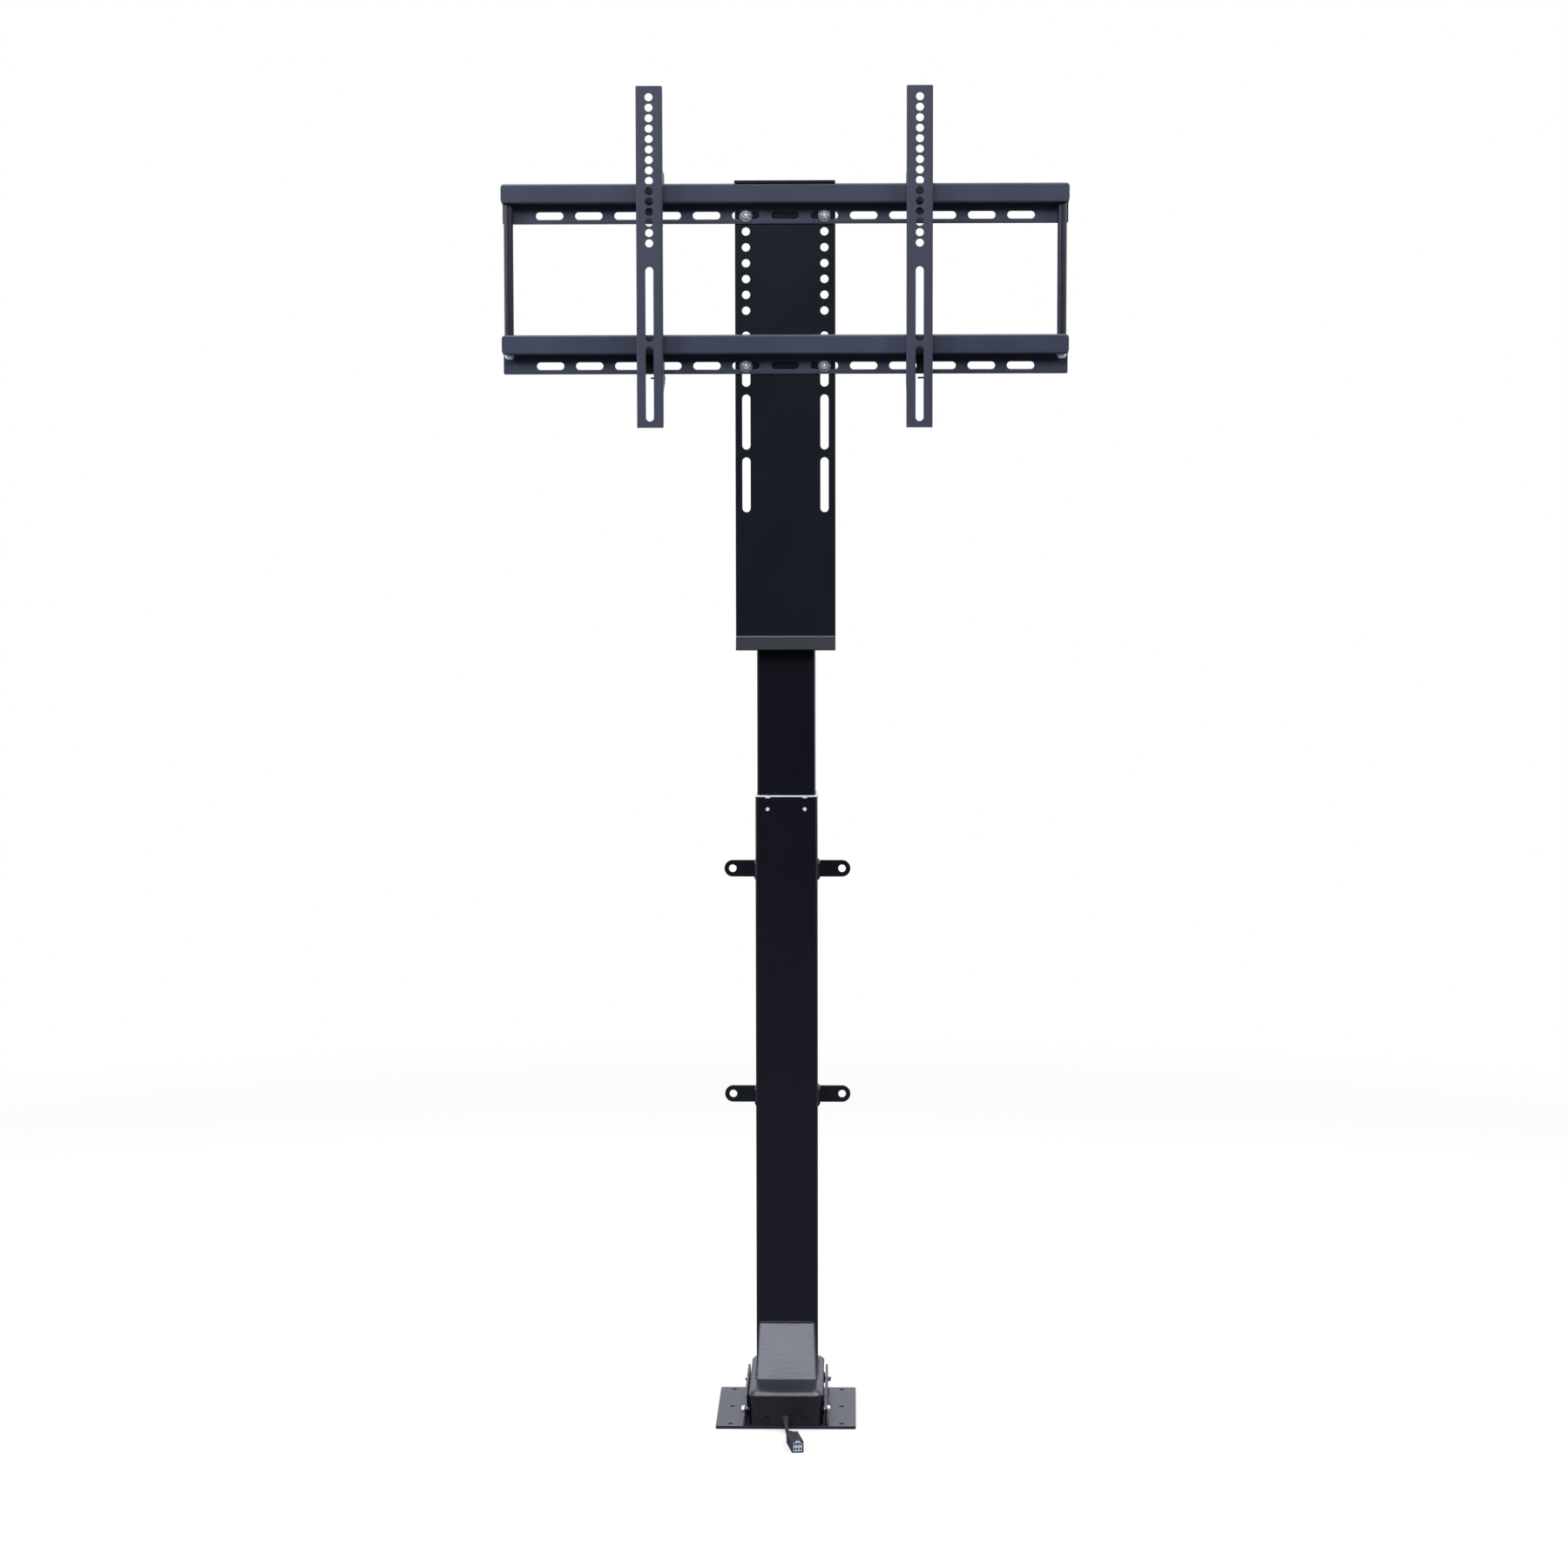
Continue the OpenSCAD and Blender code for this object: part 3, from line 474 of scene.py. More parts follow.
def box(x0, y0, x1, y1):
    return [(x0, y0), (x1, y0), (x1, y1), (x0, y1)]



def long_hole(cx, cy, length, width, upright=False):
    """Outline of a slot with round ends."""
    r = width / 2
    h = length / 2 - r
    if upright:
        return arc(cx, cy + h, r, 0, 180, 12) + arc(cx, cy - h, r, 180, 360, 12)
    return arc(cx + h, cy, r, -90, 90, 12) + arc(cx - h, cy, r, 90, 270, 12)


def round_outline(points, radii):
    """A polygon with each corner rounded by its own radius."""
    steps = 5
    out = []
    count = len(points)
    for i, point in enumerate(points):
        here = Vector(point)
        before = (Vector(points[i - 1]) - here).normalized()
        after = (Vector(points[(i + 1) % count]) - here).normalized()
        r = radii[i] if isinstance(radii, list) else radii
        if r <= 0:
            out.append(tuple(here))
            continue
        reach = r / tan(before.angle(after) / 2)
        a, b = here + before * reach, here + after * reach
        for k in range(steps + 1):
            t = k / steps
            out.append(tuple((1 - t) ** 2 * a + 2 * t * (1 - t) * here + t ** 2 * b))
    return out


def round_square(width, depth, radius, steps, cy=0):
    w, d = width / 2 - radius, depth / 2 - radius
    return (arc(w, cy + d, radius, 0, 90, steps) + arc(-w, cy + d, radius, 90, 180, steps)
            + arc(-w, cy - d, radius, 180, 270, steps) + arc(w, cy - d, radius, 270, 360, steps))


def column_ring(width, radius, z):
    """Ring of points of a square section round the column axis."""
    return [(x, y, z) for x, y in round_square(width, width, radius, 6, COLUMN_Y)]


def area_of(points):
    return sum(a[0] * b[1] - b[0] * a[1] for a, b in zip(points, points[1:] + points[:1])) / 2


def sheet(outline, holes, thick, edge, steps=2):
    """A flat sheet with real holes and softened edges, lying in XY with its middle at Z 0."""
    curve = bpy.data.curves.new("sheet", "CURVE")
    curve.dimensions = "2D"
    curve.fill_mode = "BOTH"
    curve.extrude = thick / 2 - edge
    curve.bevel_depth = edge
    curve.bevel_resolution = steps - 1
    curve.offset = -edge
    for points, wanted in [(outline, 1)] + [(hole, -1) for hole in holes]:
        points = list(points)
        if area_of(points) * wanted < 0:
            points.reverse()
        line = curve.splines.new("POLY")
        line.points.add(len(points) - 1)
        for target, point in zip(line.points, points):
            target.co = (point[0], point[1], 0, 1)
        line.use_cyclic_u = True
    holder = new_object("sheet", curve)
    mesh = evaluated_mesh(holder)
    bpy.data.objects.remove(holder)
    bpy.data.curves.remove(curve)
    return mesh


def facing(origin, u, v):
    """Matrix that puts sheet X along u and sheet Y along v, from origin."""
    u, v = Vector(u), Vector(v)
    matrix = Matrix((u, v, u.cross(v))).transposed().to_4x4()
    matrix.translation = Vector(origin)
    return matrix


def skin(shape, rings, around=False):
    """Faces between each ring of points and the next, where a ring of one point is a tip."""
    rows = [[shape.verts.new(p) for p in ring] for ring in rings]
    for a, b in zip(rows, rows[1:] + (rows[:1] if around else [])):
        for i in range(max(len(a), len(b))):
            j = i + 1
            corners = dict.fromkeys((a[i % len(a)], a[j % len(a)], b[j % len(b)], b[i % len(b)]))
            if len(corners) > 2:
                shape.faces.new(tuple(corners))
    return rows


def loft(shape, rings, caps=True, around=False):
    """Skins a row of closed rings of points. around joins the last ring to the first."""
    rows = skin(shape, rings, around)
    if caps and not around:
        shape.faces.new(reversed(rows[0]))
        shape.faces.new(rows[-1])


def axes(axis):
    """Two directions square to an axis, and the axis."""
    z = Vector(axis).normalized()
    x = z.orthogonal().normalized()
    return x, z.cross(x), z


def spokes(x, y, steps):
    """Unit vectors all round in the plane of x and y."""
    turns = [2 * pi * k / steps for k in range(steps)]
    return [x * cos(turn) + y * sin(turn) for turn in turns]


def lathe(shape, profile, origin, axis, steps=40):
    """Turns a profile of (radius, height) pairs about an axis."""
    x, y, z = axes(axis)
    around = spokes(x, y, steps)
    rings = []
    for radius, height in profile:
        middle = Vector(origin) + z * height
        rings.append([middle + spoke * radius for spoke in around] if radius else [middle])
    skin(shape, rings)


def hexagon(shape, across, height, origin, axis, turn=0.0):
    """A hexagon head: flat sides with the corners turned off at the top."""
    steps = 48
    chamfer = 0.5
    uncut = 9
    x, y, z = axes(axis)
    levels = [(0, uncut), (height - chamfer, uncut), (height - chamfer * 0.45, 1.075), (height, 0.98)]
    rings = []
    for up, limit in levels:
        ring = []
        for i in range(steps):
            a = 2 * pi * i / steps
            sector = (a + pi / 6) % (pi / 3) - pi / 6
            r = min(across / 2 / cos(sector), across / 2 * limit)
            spoke = x * cos(a + turn) + y * sin(a + turn)
            ring.append(Vector(origin) + z * up + spoke * r)
        rings.append(ring)
    loft(shape, rings)


def square_tube(shape, width, radius, low, high):
    """Open square tube round the column axis with softened ends."""
    edge = 0.3
    inner = width - 2 * TUBE_WALL
    r_in = max(radius - TUBE_WALL, 0.6)
    loft(shape, [column_ring(width, radius, low + edge), column_ring(width, radius, high - edge),
                 column_ring(width - edge, radius - edge / 2, high), column_ring(inner + edge, r_in, high),
                 column_ring(inner, r_in, high - edge), column_ring(inner, r_in, low + edge),
                 column_ring(inner + edge, r_in, low), column_ring(width - edge, radius - edge / 2, low)],
         around=True)


def bead(shape, points, width, seed, pitch=1.7):
    """A weld bead along points: half buried, with the ripples and unevenness of hand work."""
    rng = random.Random(seed)
    path = []
    for a, b in zip(points, points[1:]):
        a, b = Vector(a), Vector(b)
        count = max(2, int((b - a).length / (pitch / 3)))
        path += [a.lerp(b, i / count) for i in range(count)]
    path.append(Vector(points[-1]))
    rings = []
    drift = 0
    for i, point in enumerate(path):
        ahead = (path[min(i + 1, len(path) - 1)] - path[max(i - 1, 0)]).normalized()
        side = ahead.orthogonal().normalized()
        drift = drift * 0.8 + rng.uniform(-0.08, 0.08)
        ripple = 1 + 0.13 * sin(i * 2 * pi / 3) + drift
        taper = min(1, (min(i, len(path) - 1 - i) + 0.6) / 3)
        r = width / 2 * ripple * taper
        rings.append([point + spoke * r for spoke in spokes(side, ahead.cross(side), 10)])
    loft(shape, rings)


def dress(name, material, width):
    """A carried over solid: welded skin, softened edges and its finish."""
    piece = nodes[name]
    piece.data.materials.clear()
    piece.data.materials.append(material)
    weld = piece.modifiers.new("join", "WELD")
    weld.merge_threshold = 0.000004
    if width:
        flat = piece.modifiers.new("flatten", "DECIMATE")
        flat.decimate_type = "DISSOLVE"
        flat.angle_limit = radians(0.6)
        soft = piece.modifiers.new("edges", "BEVEL")
        soft.width = width * MM
        soft.segments = 2
        soft.limit_method = "ANGLE"
        soft.angle_limit = radians(40)
        soft.use_clamp_overlap = True
        soft.harden_normals = False


# Floor group
def make_base_plate():
    shape = bmesh.new()
    holes = [circle(x * BASE_HOLE_X, k * BASE_HOLE_Y, BASE_HOLE_R, 28) for x in (-1, 1) for k in (-1, 0, 1)]
    outline = round_outline(box(-BASE_X, -BASE_Y, BASE_X, BASE_Y), 3)
    add_mesh(shape, sheet(outline, holes, BASE_T, 0.5), Matrix.Translation((0, 0, BASE_T / 2)))
    finish_piece("base_plate_steel", shape, BASE, "base", ["base_plate"])


def make_ears():
    corners = [(-97, 4), (-97, 25), (-88, 40), (82, 40), (90, 32), (90, 4)]
    outline = round_outline(corners, [0, 2, 2.5, 2.5, 2.5, 0])
    holes = [circle(y, EAR_BOLT_Z, EAR_HOLE_R, 28) for y in EAR_BOLT_Y]
    for side, word in SIDES:
        shape = bmesh.new()
        middle = side * (EAR_IN + EAR_T / 2)
        add_mesh(shape, sheet(outline, holes, EAR_T, 0.35), facing((middle, 0, 0), Y, Z))
        out = side * (EAR_IN + EAR_T + 0.2)
        for n, (a, b) in enumerate([(-94, -58), (-22, 18), (52, 88)]):
            bead(shape, [(out, a, 4.3), (out, b, 4.3)], 3.6, seed=n + 5 * side)
        finish_piece("ear_plate_" + word, shape, SATIN, "base", ["ear_" + word])


def bolt_head(shape, origin, axis):
    """Flanged hexagon head with a domed, dotted middle."""
    rim, across, tall, dome = EAR_BOLT_FLANGE_R, EAR_BOLT_HEX, EAR_BOLT_HEX_H, 0.6
    lathe(shape, [(0, 0), (rim - 0.3, 0), (rim, 0.3), (rim, 0.8), (rim - 0.5, 1.2),
                  (across / 2 * 0.9, 1.5), (0, 1.5)], origin, axis)
    top = Vector(origin) + Vector(axis) * 1.1
    hexagon(shape, across, tall, top, axis, turn=0.3)
    lathe(shape, [(across * 0.30, 0), (across * 0.30, dome * 0.5), (across * 0.24, dome),
                  (across * 0.08, dome * 1.25), (across * 0.06, dome * 0.9), (0, dome * 0.8)],
          top + Vector(axis) * (tall - 0.1), axis)


def make_ear_bolts():
    for side, word in SIDES:
        out = (side, 0, 0)
        for y, place in zip(EAR_BOLT_Y, ("front", "back")):
            shape = bmesh.new()
            start = side * (EAR_IN + EAR_T)
            bolt_head(shape, (start, y, EAR_BOLT_Z), out)
            lathe(shape, [(0, 0), (2.6, 0), (3, 0.5), (3, 8.5)], (start - side * 8.5, y, EAR_BOLT_Z), out, 24)
            node = "ear_bolt_%s_%s" % (place, word)
            finish_piece(node + "_head", shape, ZINC, "base", [node])


def crown_profile():
    """Pull in and height of each ring: walls, a lip, a crisp edge, then a crown up to the flat top."""
    turn = radians(CROWN_TURN)
    flat = CROWN_R * cos(turn)
    rise = CROWN_R * (1 - sin(turn)) + CROWN_EDGE * sin(turn)
    steps = []
    for k in range(4):
        a = turn * k / 3
        steps.append((CROWN_EDGE * (1 - cos(a)), HOUSING_TOP - rise + CROWN_EDGE * sin(a)))
    start = steps[-1][0]
    for k in range(1, 11):
        a = turn + (pi / 2 - turn) * k / 10
        steps.append((start + flat - CROWN_R * cos(a), HOUSING_TOP - CROWN_R * (1 - sin(a))))
    low = steps[0][1]
    under = [(CROWN_LIP, BASE_T + 0.05), (CROWN_LIP, WALL_MIDDLE), (CROWN_LIP, low - CROWN_LIP_DROP),
             (0, low - CROWN_LIP_DROP / 2)]
    return under + steps


def shell_rings(inset):
    """Rings of the drawn housing from the base plate up to its flat top."""
    width = 2 * (HOUSING_X - inset)
    depth = HOUSING_Y[1] - HOUSING_Y[0] - 2 * inset
    middle = (HOUSING_Y[0] + HOUSING_Y[1]) / 2
    rings = []
    for pull, z in crown_profile():
        corner = HOUSING_RADIUS - inset - 0.3 * pull
        level = z - (inset if z > WALL_MIDDLE else 0)
        outline = round_square(width - 1.5 * pull, depth - 2 * pull, corner, 8, middle)
        rings.append([(x, y, level) for x, y in outline])
    return rings


def cut_away(target, cutters):
    """Cuts closed helper shapes out of an object and deletes them."""
    target.modifiers.clear()
    for cutter in cutters:
        step = target.modifiers.new("cut", "BOOLEAN")
        step.object = cutter
        step.operation = "DIFFERENCE"
        step.solver = "EXACT"
    mesh = evaluated_mesh(target)
    target.modifiers.clear()
    old = target.data
    target.data = mesh
    mesh.name = old.name
    bpy.data.meshes.remove(old)
    for cutter in cutters:
        bpy.data.objects.remove(cutter)
    shade_evenly(target, 35)


def peg(x, y, z, radius, length):
    """A helper rod along Y, used only for cutting."""
    shape = bmesh.new()
    lathe(shape, [(0, 0), (radius, 0), (radius, length), (0, length)], (x, y, z), Y, 28)
    return to_object("peg", shape)


def make_housing():
    shape = bmesh.new()
    outer = shell_rings(0)
    inner = shell_rings(HOUSING_T)
    loft(shape, outer, caps=False)
    shape.faces.new([shape.verts.new(p) for p in outer[-1]])
    loft(shape, list(reversed(inner)), caps=False)
    shape.faces.new([shape.verts.new(p) for p in inner[-1]])
    loft(shape, [inner[0], outer[0]], caps=False)
    for side in (-1, 1):
        for y in EAR_BOLT_Y:
            lathe(shape, [(0, 0), (8.2, 0), (7.4, 0.9), (6.6, 1.8), (0, 1.8)],
                  (side * (HOUSING_X - 0.6), y, EAR_BOLT_Z), (side, 0, 0))
    cover = finish_piece("drawn_housing", shape, SHELL, "base", ["motor_housing"])
    front = HOUSING_Y[0]
    pegs = [peg(x, front - 3, FRONT_HOLE_Z, FRONT_HOLE_R, 8) for x in FRONT_HOLE_X]
    cut_away(cover, pegs + [peg(0, front - 3, LEAD_Z, LEAD_HOLE_R, 8)])
    shape = bmesh.new()
    for x in FRONT_HOLE_X:
        lathe(shape, [(0, -3.6), (1.5, -3.5), (2.5, -3.1), (3.1, -2.2), (3.3, -0.5), (3.8, -0.5),
                      (3.8, -4.2), (0, -4.2)], (x, front, FRONT_HOLE_Z), FORWARD, 32)
    finish_piece("housing_blanks", shape, BLACK, "base")
    shape = bmesh.new()
    z = HOUSING_TOP + 0.2
    half = OUTER_W / 2
    near, far = TUBE_FRONT, COLUMN_Y + half
    for side in (-1, 1):
        x = side * (half + 0.2)
        path = [(x - side * 0.7, near - RAMP_REACH + 3, z - 0.3), (x, near, z - 0.3), (x, far - 3, z - 0.3)]
        bead(shape, path, 3.2, seed=20 + side, pitch=2.4)
    bead(shape, [(half - 4, far + 0.4, z), (4 - half, far + 0.4, z)], 4.2, seed=24)
    finish_piece("column_foot_weld", shape, WELD, "base")


def make_ramp():
    """Closed ramp in front of the column: a ground face with soft side edges and weld beads."""
    back = TUBE_FRONT - 0.15
    high = Vector((0, back, HOUSING_TOP + RAMP_RISE))
    low = Vector((0, TUBE_FRONT - RAMP_REACH, HOUSING_TOP + 0.1))
    down = (low - high).normalized()
    out = Vector((0, down.z, -down.y))
    edge = 2.2
    rings = []
    for i in range(RAMP_STEPS + 1):
        t = i / RAMP_STEPS
        half = RAMP_HALF[0] + (RAMP_HALF[1] - RAMP_HALF[0]) * t
        spot = high.lerp(low, t)
        swell = 0.4 * sin(pi * t)
        row = [Vector((-half, back, spot.z))]
        corner = arc(-half + edge, -edge, edge, 180, 90, 6)
        flat = [(-half + edge + (half - edge) * k / 6, swell * sin(pi * k / 12))
                for k in range(1, 12)]
        for x, rise in corner + flat + [(-x, rise) for x, rise in reversed(corner)]:
            row.append(Vector((x, 0, 0)) + spot + out * rise)
        row.append(Vector((half, back, spot.z)))
        for point in row:
            point.y = min(point.y, back)
        rings.append(row)
    shape = bmesh.new()
    loft(shape, rings)
    finish_piece("ramp_plate", shape, RAMP, "base", ["ramp_cover"], smooth=40)
    shape = bmesh.new()
    top, foot = RAMP_HALF[0] - 0.6, RAMP_HALF[1] - 0.6
    bead(shape, [high + Vector((-top, -0.4, 0.2)), high + Vector((top, -0.4, 0.2))], 2.6, seed=3, pitch=2.4)
    for side in (-1, 1):
        edge_foot = Vector((side * (RAMP_HALF[1] - 0.1), TUBE_FRONT - 0.5, low.z + 2))
        edge_head = high + Vector((side * RAMP_HALF[0], -0.4, -1))
        bead(shape, [edge_head, edge_foot], 1.8, seed=12 + side, pitch=2.6)
    finish_piece("ramp_weld", shape, WELD, "base")
    shape = bmesh.new()
    # The bead at the ramp's foot takes the pale paint of a painted highlight
    bead(shape, [low + Vector((-foot, -0.2, 0.5)), low + Vector((foot, -0.2, 0.5))], 2.6, seed=8, pitch=4.5)
    finish_piece("ramp_foot_bead", shape, FOOT_BEAD_HIGHLIGHT, "base")


def make_tube(node, width, radius, low, high, body):
    shape = bmesh.new()
    square_tube(shape, width, radius, low, high)
    return finish_piece(node + "_skin", shape, TUBE, body, [node])


def make_outer_tube():
    """The outer tube has two holes near its top for the glide's pips."""
    tube = make_tube("outer_tube", OUTER_W, 5, HOUSING_TOP - HOUSING_T, OUTER_TOP, "base")
    cut_away(tube, [peg(x, TUBE_FRONT - 2, PIP_Z, 2.75, 5) for x in (-PIP_X, PIP_X)])


def make_lugs():
    back = COLUMN_Y + OUTER_W / 2
    near = OUTER_W / 2 + 0.1
    outline = [(near, -LUG_R)] + arc(LUG_X, 0, LUG_R, -90, 90, 18) + [(near, LUG_R)]
    leg_outline = round_outline(box(-LUG_LEG, -LUG_R, 0, LUG_R), [4, 0, 0, 4])
    for side, word in SIDES:
        for level, z in LUG_HEIGHTS.items():
            shape = bmesh.new()
            flat = sheet(outline, [circle(LUG_X, 0, LUG_HOLE_R)], LUG_T, 0.4)
            add_mesh(shape, flat, facing((0, back - 1.5, z), (side, 0, 0), Z))
            leg = sheet(leg_outline, [], LUG_T, 0.4)
            add_mesh(shape, leg, facing((side * (near + 1.5), back - 0.4, z), Y, Z))
            x = side * (OUTER_W / 2 + 0.4)
            for rise, seed in ((11.4, 31), (-11.4, 37)):
                bead(shape, [(x, back - 24, z + rise), (x, back - 1, z + rise)], 3.4, seed=seed + side)
            bead(shape, [(x, back - 24.6, z - 10), (x, back - 24.6, z + 10)], 3.2, seed=41 + side)
            node = "lug_%s_%s" % (level, word)
            finish_piece(node + "_plate", shape, SATIN, "base", [node])


def make_collar(node, width, opening, top, tabs, body):
    """Nylon rim on a tube's end with a sleeve inside the tube, and tabs that hook over the edge."""
    inside = width - 2 * TUBE_WALL - 0.3
    shape = bmesh.new()
    rings = [(width, 5, 0.1), (width + 0.1, 5, 0.6), (width, 5, 1.6), (width - 1, 4.6, 2),
             (opening + 1, 4.2, 2), (opening, 4, 1.5), (opening, 4, -COLLAR_SLEEVE),
             (inside, 3.4, -COLLAR_SLEEVE), (inside, 3.4, 0.1)]
    loft(shape, [column_ring(w, r, top + rise) for w, r, rise in rings], around=True)
    half = width / 2
    for x in tabs:
        for y in (COLUMN_Y - half - 0.15, COLUMN_Y + half - 1.3):
            outline = round_outline(box(x - 3.2, top - 1.5, x + 3.2, top + 1.9), 0.6)
            add_mesh(shape, sheet(outline, [], 1.45, 0.2), facing((0, y + 0.72, 0), X, Z))
    finish_piece(node + "_rim", shape, NYLON, body, [node])


def make_guides():
    make_collar("glide_collar", OUTER_W, MIDDLE_W + 0.5, OUTER_TOP, (-PIP_X, PIP_X), "base")
    make_collar("middle_collar", MIDDLE_W, INNER_W + 0.5, MIDDLE_TOP, (), "middle_stage")
    for side, word in SIDES:
        shape = bmesh.new()
        lathe(shape, [(2.45, 0), (2.45, 1.9), (2.2, 2.1), (1.4, 2.35), (0, 2.45)],
              (side * PIP_X, TUBE_FRONT + 1.8, PIP_Z), FORWARD, 28)
        finish_piece("glide_pip_%s_button" % word, shape, NYLON, "base", ["glide_pip_" + word])


# Head frame
def fold_strip(line, thick):
    """Both faces of a strip that follows a line in the YZ plane, as one closed outline."""
    front, back = [], []
    for i, p in enumerate(line):
        a = Vector(line[max(i - 1, 0)])
        b = Vector(line[min(i + 1, len(line) - 1)])
        along = (b - a).normalized()
        across = Vector((-along.y, along.x)) * thick / 2
        front.append(tuple(Vector(p) + across))
        back.append(tuple(Vector(p) - across))
    return front + list(reversed(back))


def run_along_x(shape, outline, half, ends=0):
    """Sweeps a side view outline along X with softened ends, and extra rings where the ends are shaped."""
    soft = 0.4
    turn = 1 if area_of(outline) > 0 else -1
    count = len(outline)
    shrunk = []
    for i, point in enumerate(outline):
        along = (Vector(outline[(i + 1) % count]) - Vector(outline[i - 1])).normalized()
        shrunk.append(tuple(Vector(point) + Vector((-along.y, along.x)) * turn * soft * 0.6))
    steps = [soft]
    if ends:
        steps += [soft + (ends - soft) * (k / 6) ** 2 for k in range(1, 7)]
    places = [-half + step for step in steps] + [half - step for step in reversed(steps)]
    rings = [[(x, *p) for p in outline] for x in places]
    loft(shape, [[(-half, *p) for p in shrunk]] + rings + [[(half, *p) for p in shrunk]])


def make_head_plate():
    shape = bmesh.new()
    t = PLATE_T
    middle = PLATE_BACK - t / 2
    low, high = PLATE_BOTTOM + 21, PLATE_TOP - 5
    holes = []
    for x in (-BOLT_X, BOLT_X):
        holes += [circle(x, SLOT_Z - PLATE_PITCH * k, PLATE_HOLE_D / 2) for k in range(-1, 7) if k]
        holes.append(circle(x, SLOT_Z, BOLT_HOLE_R, 24))
        for z in PLATE_SLOTS:
            holes.append(long_hole(x, z + PLATE_SLOT_L / 2, PLATE_SLOT_L, PLATE_HOLE_D, upright=True))
    flat = sheet(box(-PLATE_HALF, low, PLATE_HALF, high), holes, t, 0.3)
    add_mesh(shape, flat, facing((0, middle, 0), X, Z))
    fold = [(middle, high - 0.2)] + arc(middle - PLATE_BEND, high, PLATE_BEND, 0, 90, 8)
    fold.append((RAIL_FRONT - 2 + 0.3, high + PLATE_BEND))
    run_along_x(shape, fold_strip(fold, t), PLATE_HALF)
    kick = [(middle, low + 0.2)] + arc(middle - KICK_BEND, low - 0.6, KICK_BEND, 0, -KICK_TURN, 6)
    turn = radians(KICK_TURN)
    ahead = Vector((-sin(turn), -cos(turn)))
    last = Vector(kick[-1])
    reach = (last.y - PLATE_BOTTOM - 1.3) / -ahead.y
    kick.append(tuple(last + ahead * reach))
    run_along_x(shape, fold_strip(kick, t), PLATE_HALF)
    for x in (-BOLT_X, BOLT_X):
        for z in (SLOT_Z, SLOT_Z - RAIL_PITCH):
            lathe(shape, [(3.1, 0), (8.5, 0), (8.5, 1), (7.9, 1.5), (3.1, 1.5)], (x, PLATE_BACK, z), Y)
            hexagon(shape, 11.2, 5, (x, PLATE_BACK + 1, z), Y)
    finish_piece("head_plate", shape, SATIN, "head", ["mounting_plate"])


def make_rail(node, top):
    """Slotted web with a folded box along its upper edge, rounded at the box's front corners."""
    shape = bmesh.new()
    t = RAIL_T
    half = RAIL_HALF
    middle = RAIL_BACK - t / 2
    slots = [long_hole(SLOT_PITCH * k, top - SLOT_DROP, SLOT_L, SLOT_H) for k in range(-6, 7)]
    web = round_outline(box(-half, top - RAIL_H, half, top - 3.4), [2.5, 2.5, 0, 0])
    add_mesh(shape, sheet(web, slots, t, 0.55), facing((0, middle, 0), X, Z))
    front = RAIL_FRONT + t / 2
    floor = top - RAIL_BOX_H
    r = t / 2 + 0.05
    line = [(middle, top - 3.6)] + arc(middle - r, top - t / 2 - r, r, 0, 90, 6)
    line += arc(front + r, top - t / 2 - r, r, 90, 180, 6)
    line += arc(front + r, floor + t / 2 + r, r, 180, 270, 6)
    line.append((middle - t / 2 - 2.6, floor + t / 2))
    fold = bmesh.new()
    run_along_x(fold, fold_strip(line, t), half, ends=RAIL_CORNER)
    for vert in fold.verts:
        past = abs(vert.co.x) - (half - RAIL_CORNER)
        if past > 0 and vert.co.y < RAIL_FRONT + 6:
            drop = RAIL_CORNER - sqrt(max(0, RAIL_CORNER ** 2 - past ** 2))
            vert.co.z = min(max(vert.co.z, floor + drop), top - drop)
    whole = bpy.data.meshes.new("fold")
    fold.to_mesh(whole)
    fold.free()
    add_mesh(shape, whole, Matrix())
    finish_piece(node + "_fold", shape, RAIL, "head", [node])


def make_rail_bolts():
    start = RAIL_BACK - RAIL_T
    face = start - 1.25
    for z, level in ((SLOT_Z, "top"), (SLOT_Z - RAIL_PITCH, "bottom")):
        for side, word in SIDES:
            x = side * BOLT_X
            node = "rail_bolt_%s_%s" % (level, word)
            shape = bmesh.new()
            lathe(shape, [(3, 0), (8.0, 0), (8.5, 0.4), (8.5, 1.0), (8.1, 1.4), (7.2, 1.5), (6.4, 1.25),
                          (3, 1.25)], (x, start, z), FORWARD)
            finish_piece(node + "_washer", shape, WASHER, "head")
            shape = bmesh.new()
            lathe(shape, [(3, 0), (6.1, 0), (6.3, 0.3), (6.3, 0.7), (5.8, 1.1), (3, 1.1)],
                  (x, face, z), FORWARD)
            nut = sheet(circle(0, 0, 10 / sqrt(3), 6), [circle(0, 0, 2.9)], 3.2, 0.55, 3)
            add_mesh(shape, nut, facing((x, face - 2.5, z), X, Z))
            finish_piece(node + "_nut", shape, ZINC, "head", [node])
            shape = bmesh.new()
            lathe(shape, [(2.5, -3.4), (2.5, 2.9), (1.9, 3.6), (0.9, 3.8), (0, 3.85)],
                  (x, face, z), FORWARD, 28)
            lathe(shape, [(3, -1.2), (3, 15.75), (2.5, 16.35), (0, 16.35)], (x, face, z), Y, 24)
            # The bolt end takes pale steel with a painted reflection
            finish_piece(node + "_shank", shape, SHINE_PAINTED_STEEL, "head")


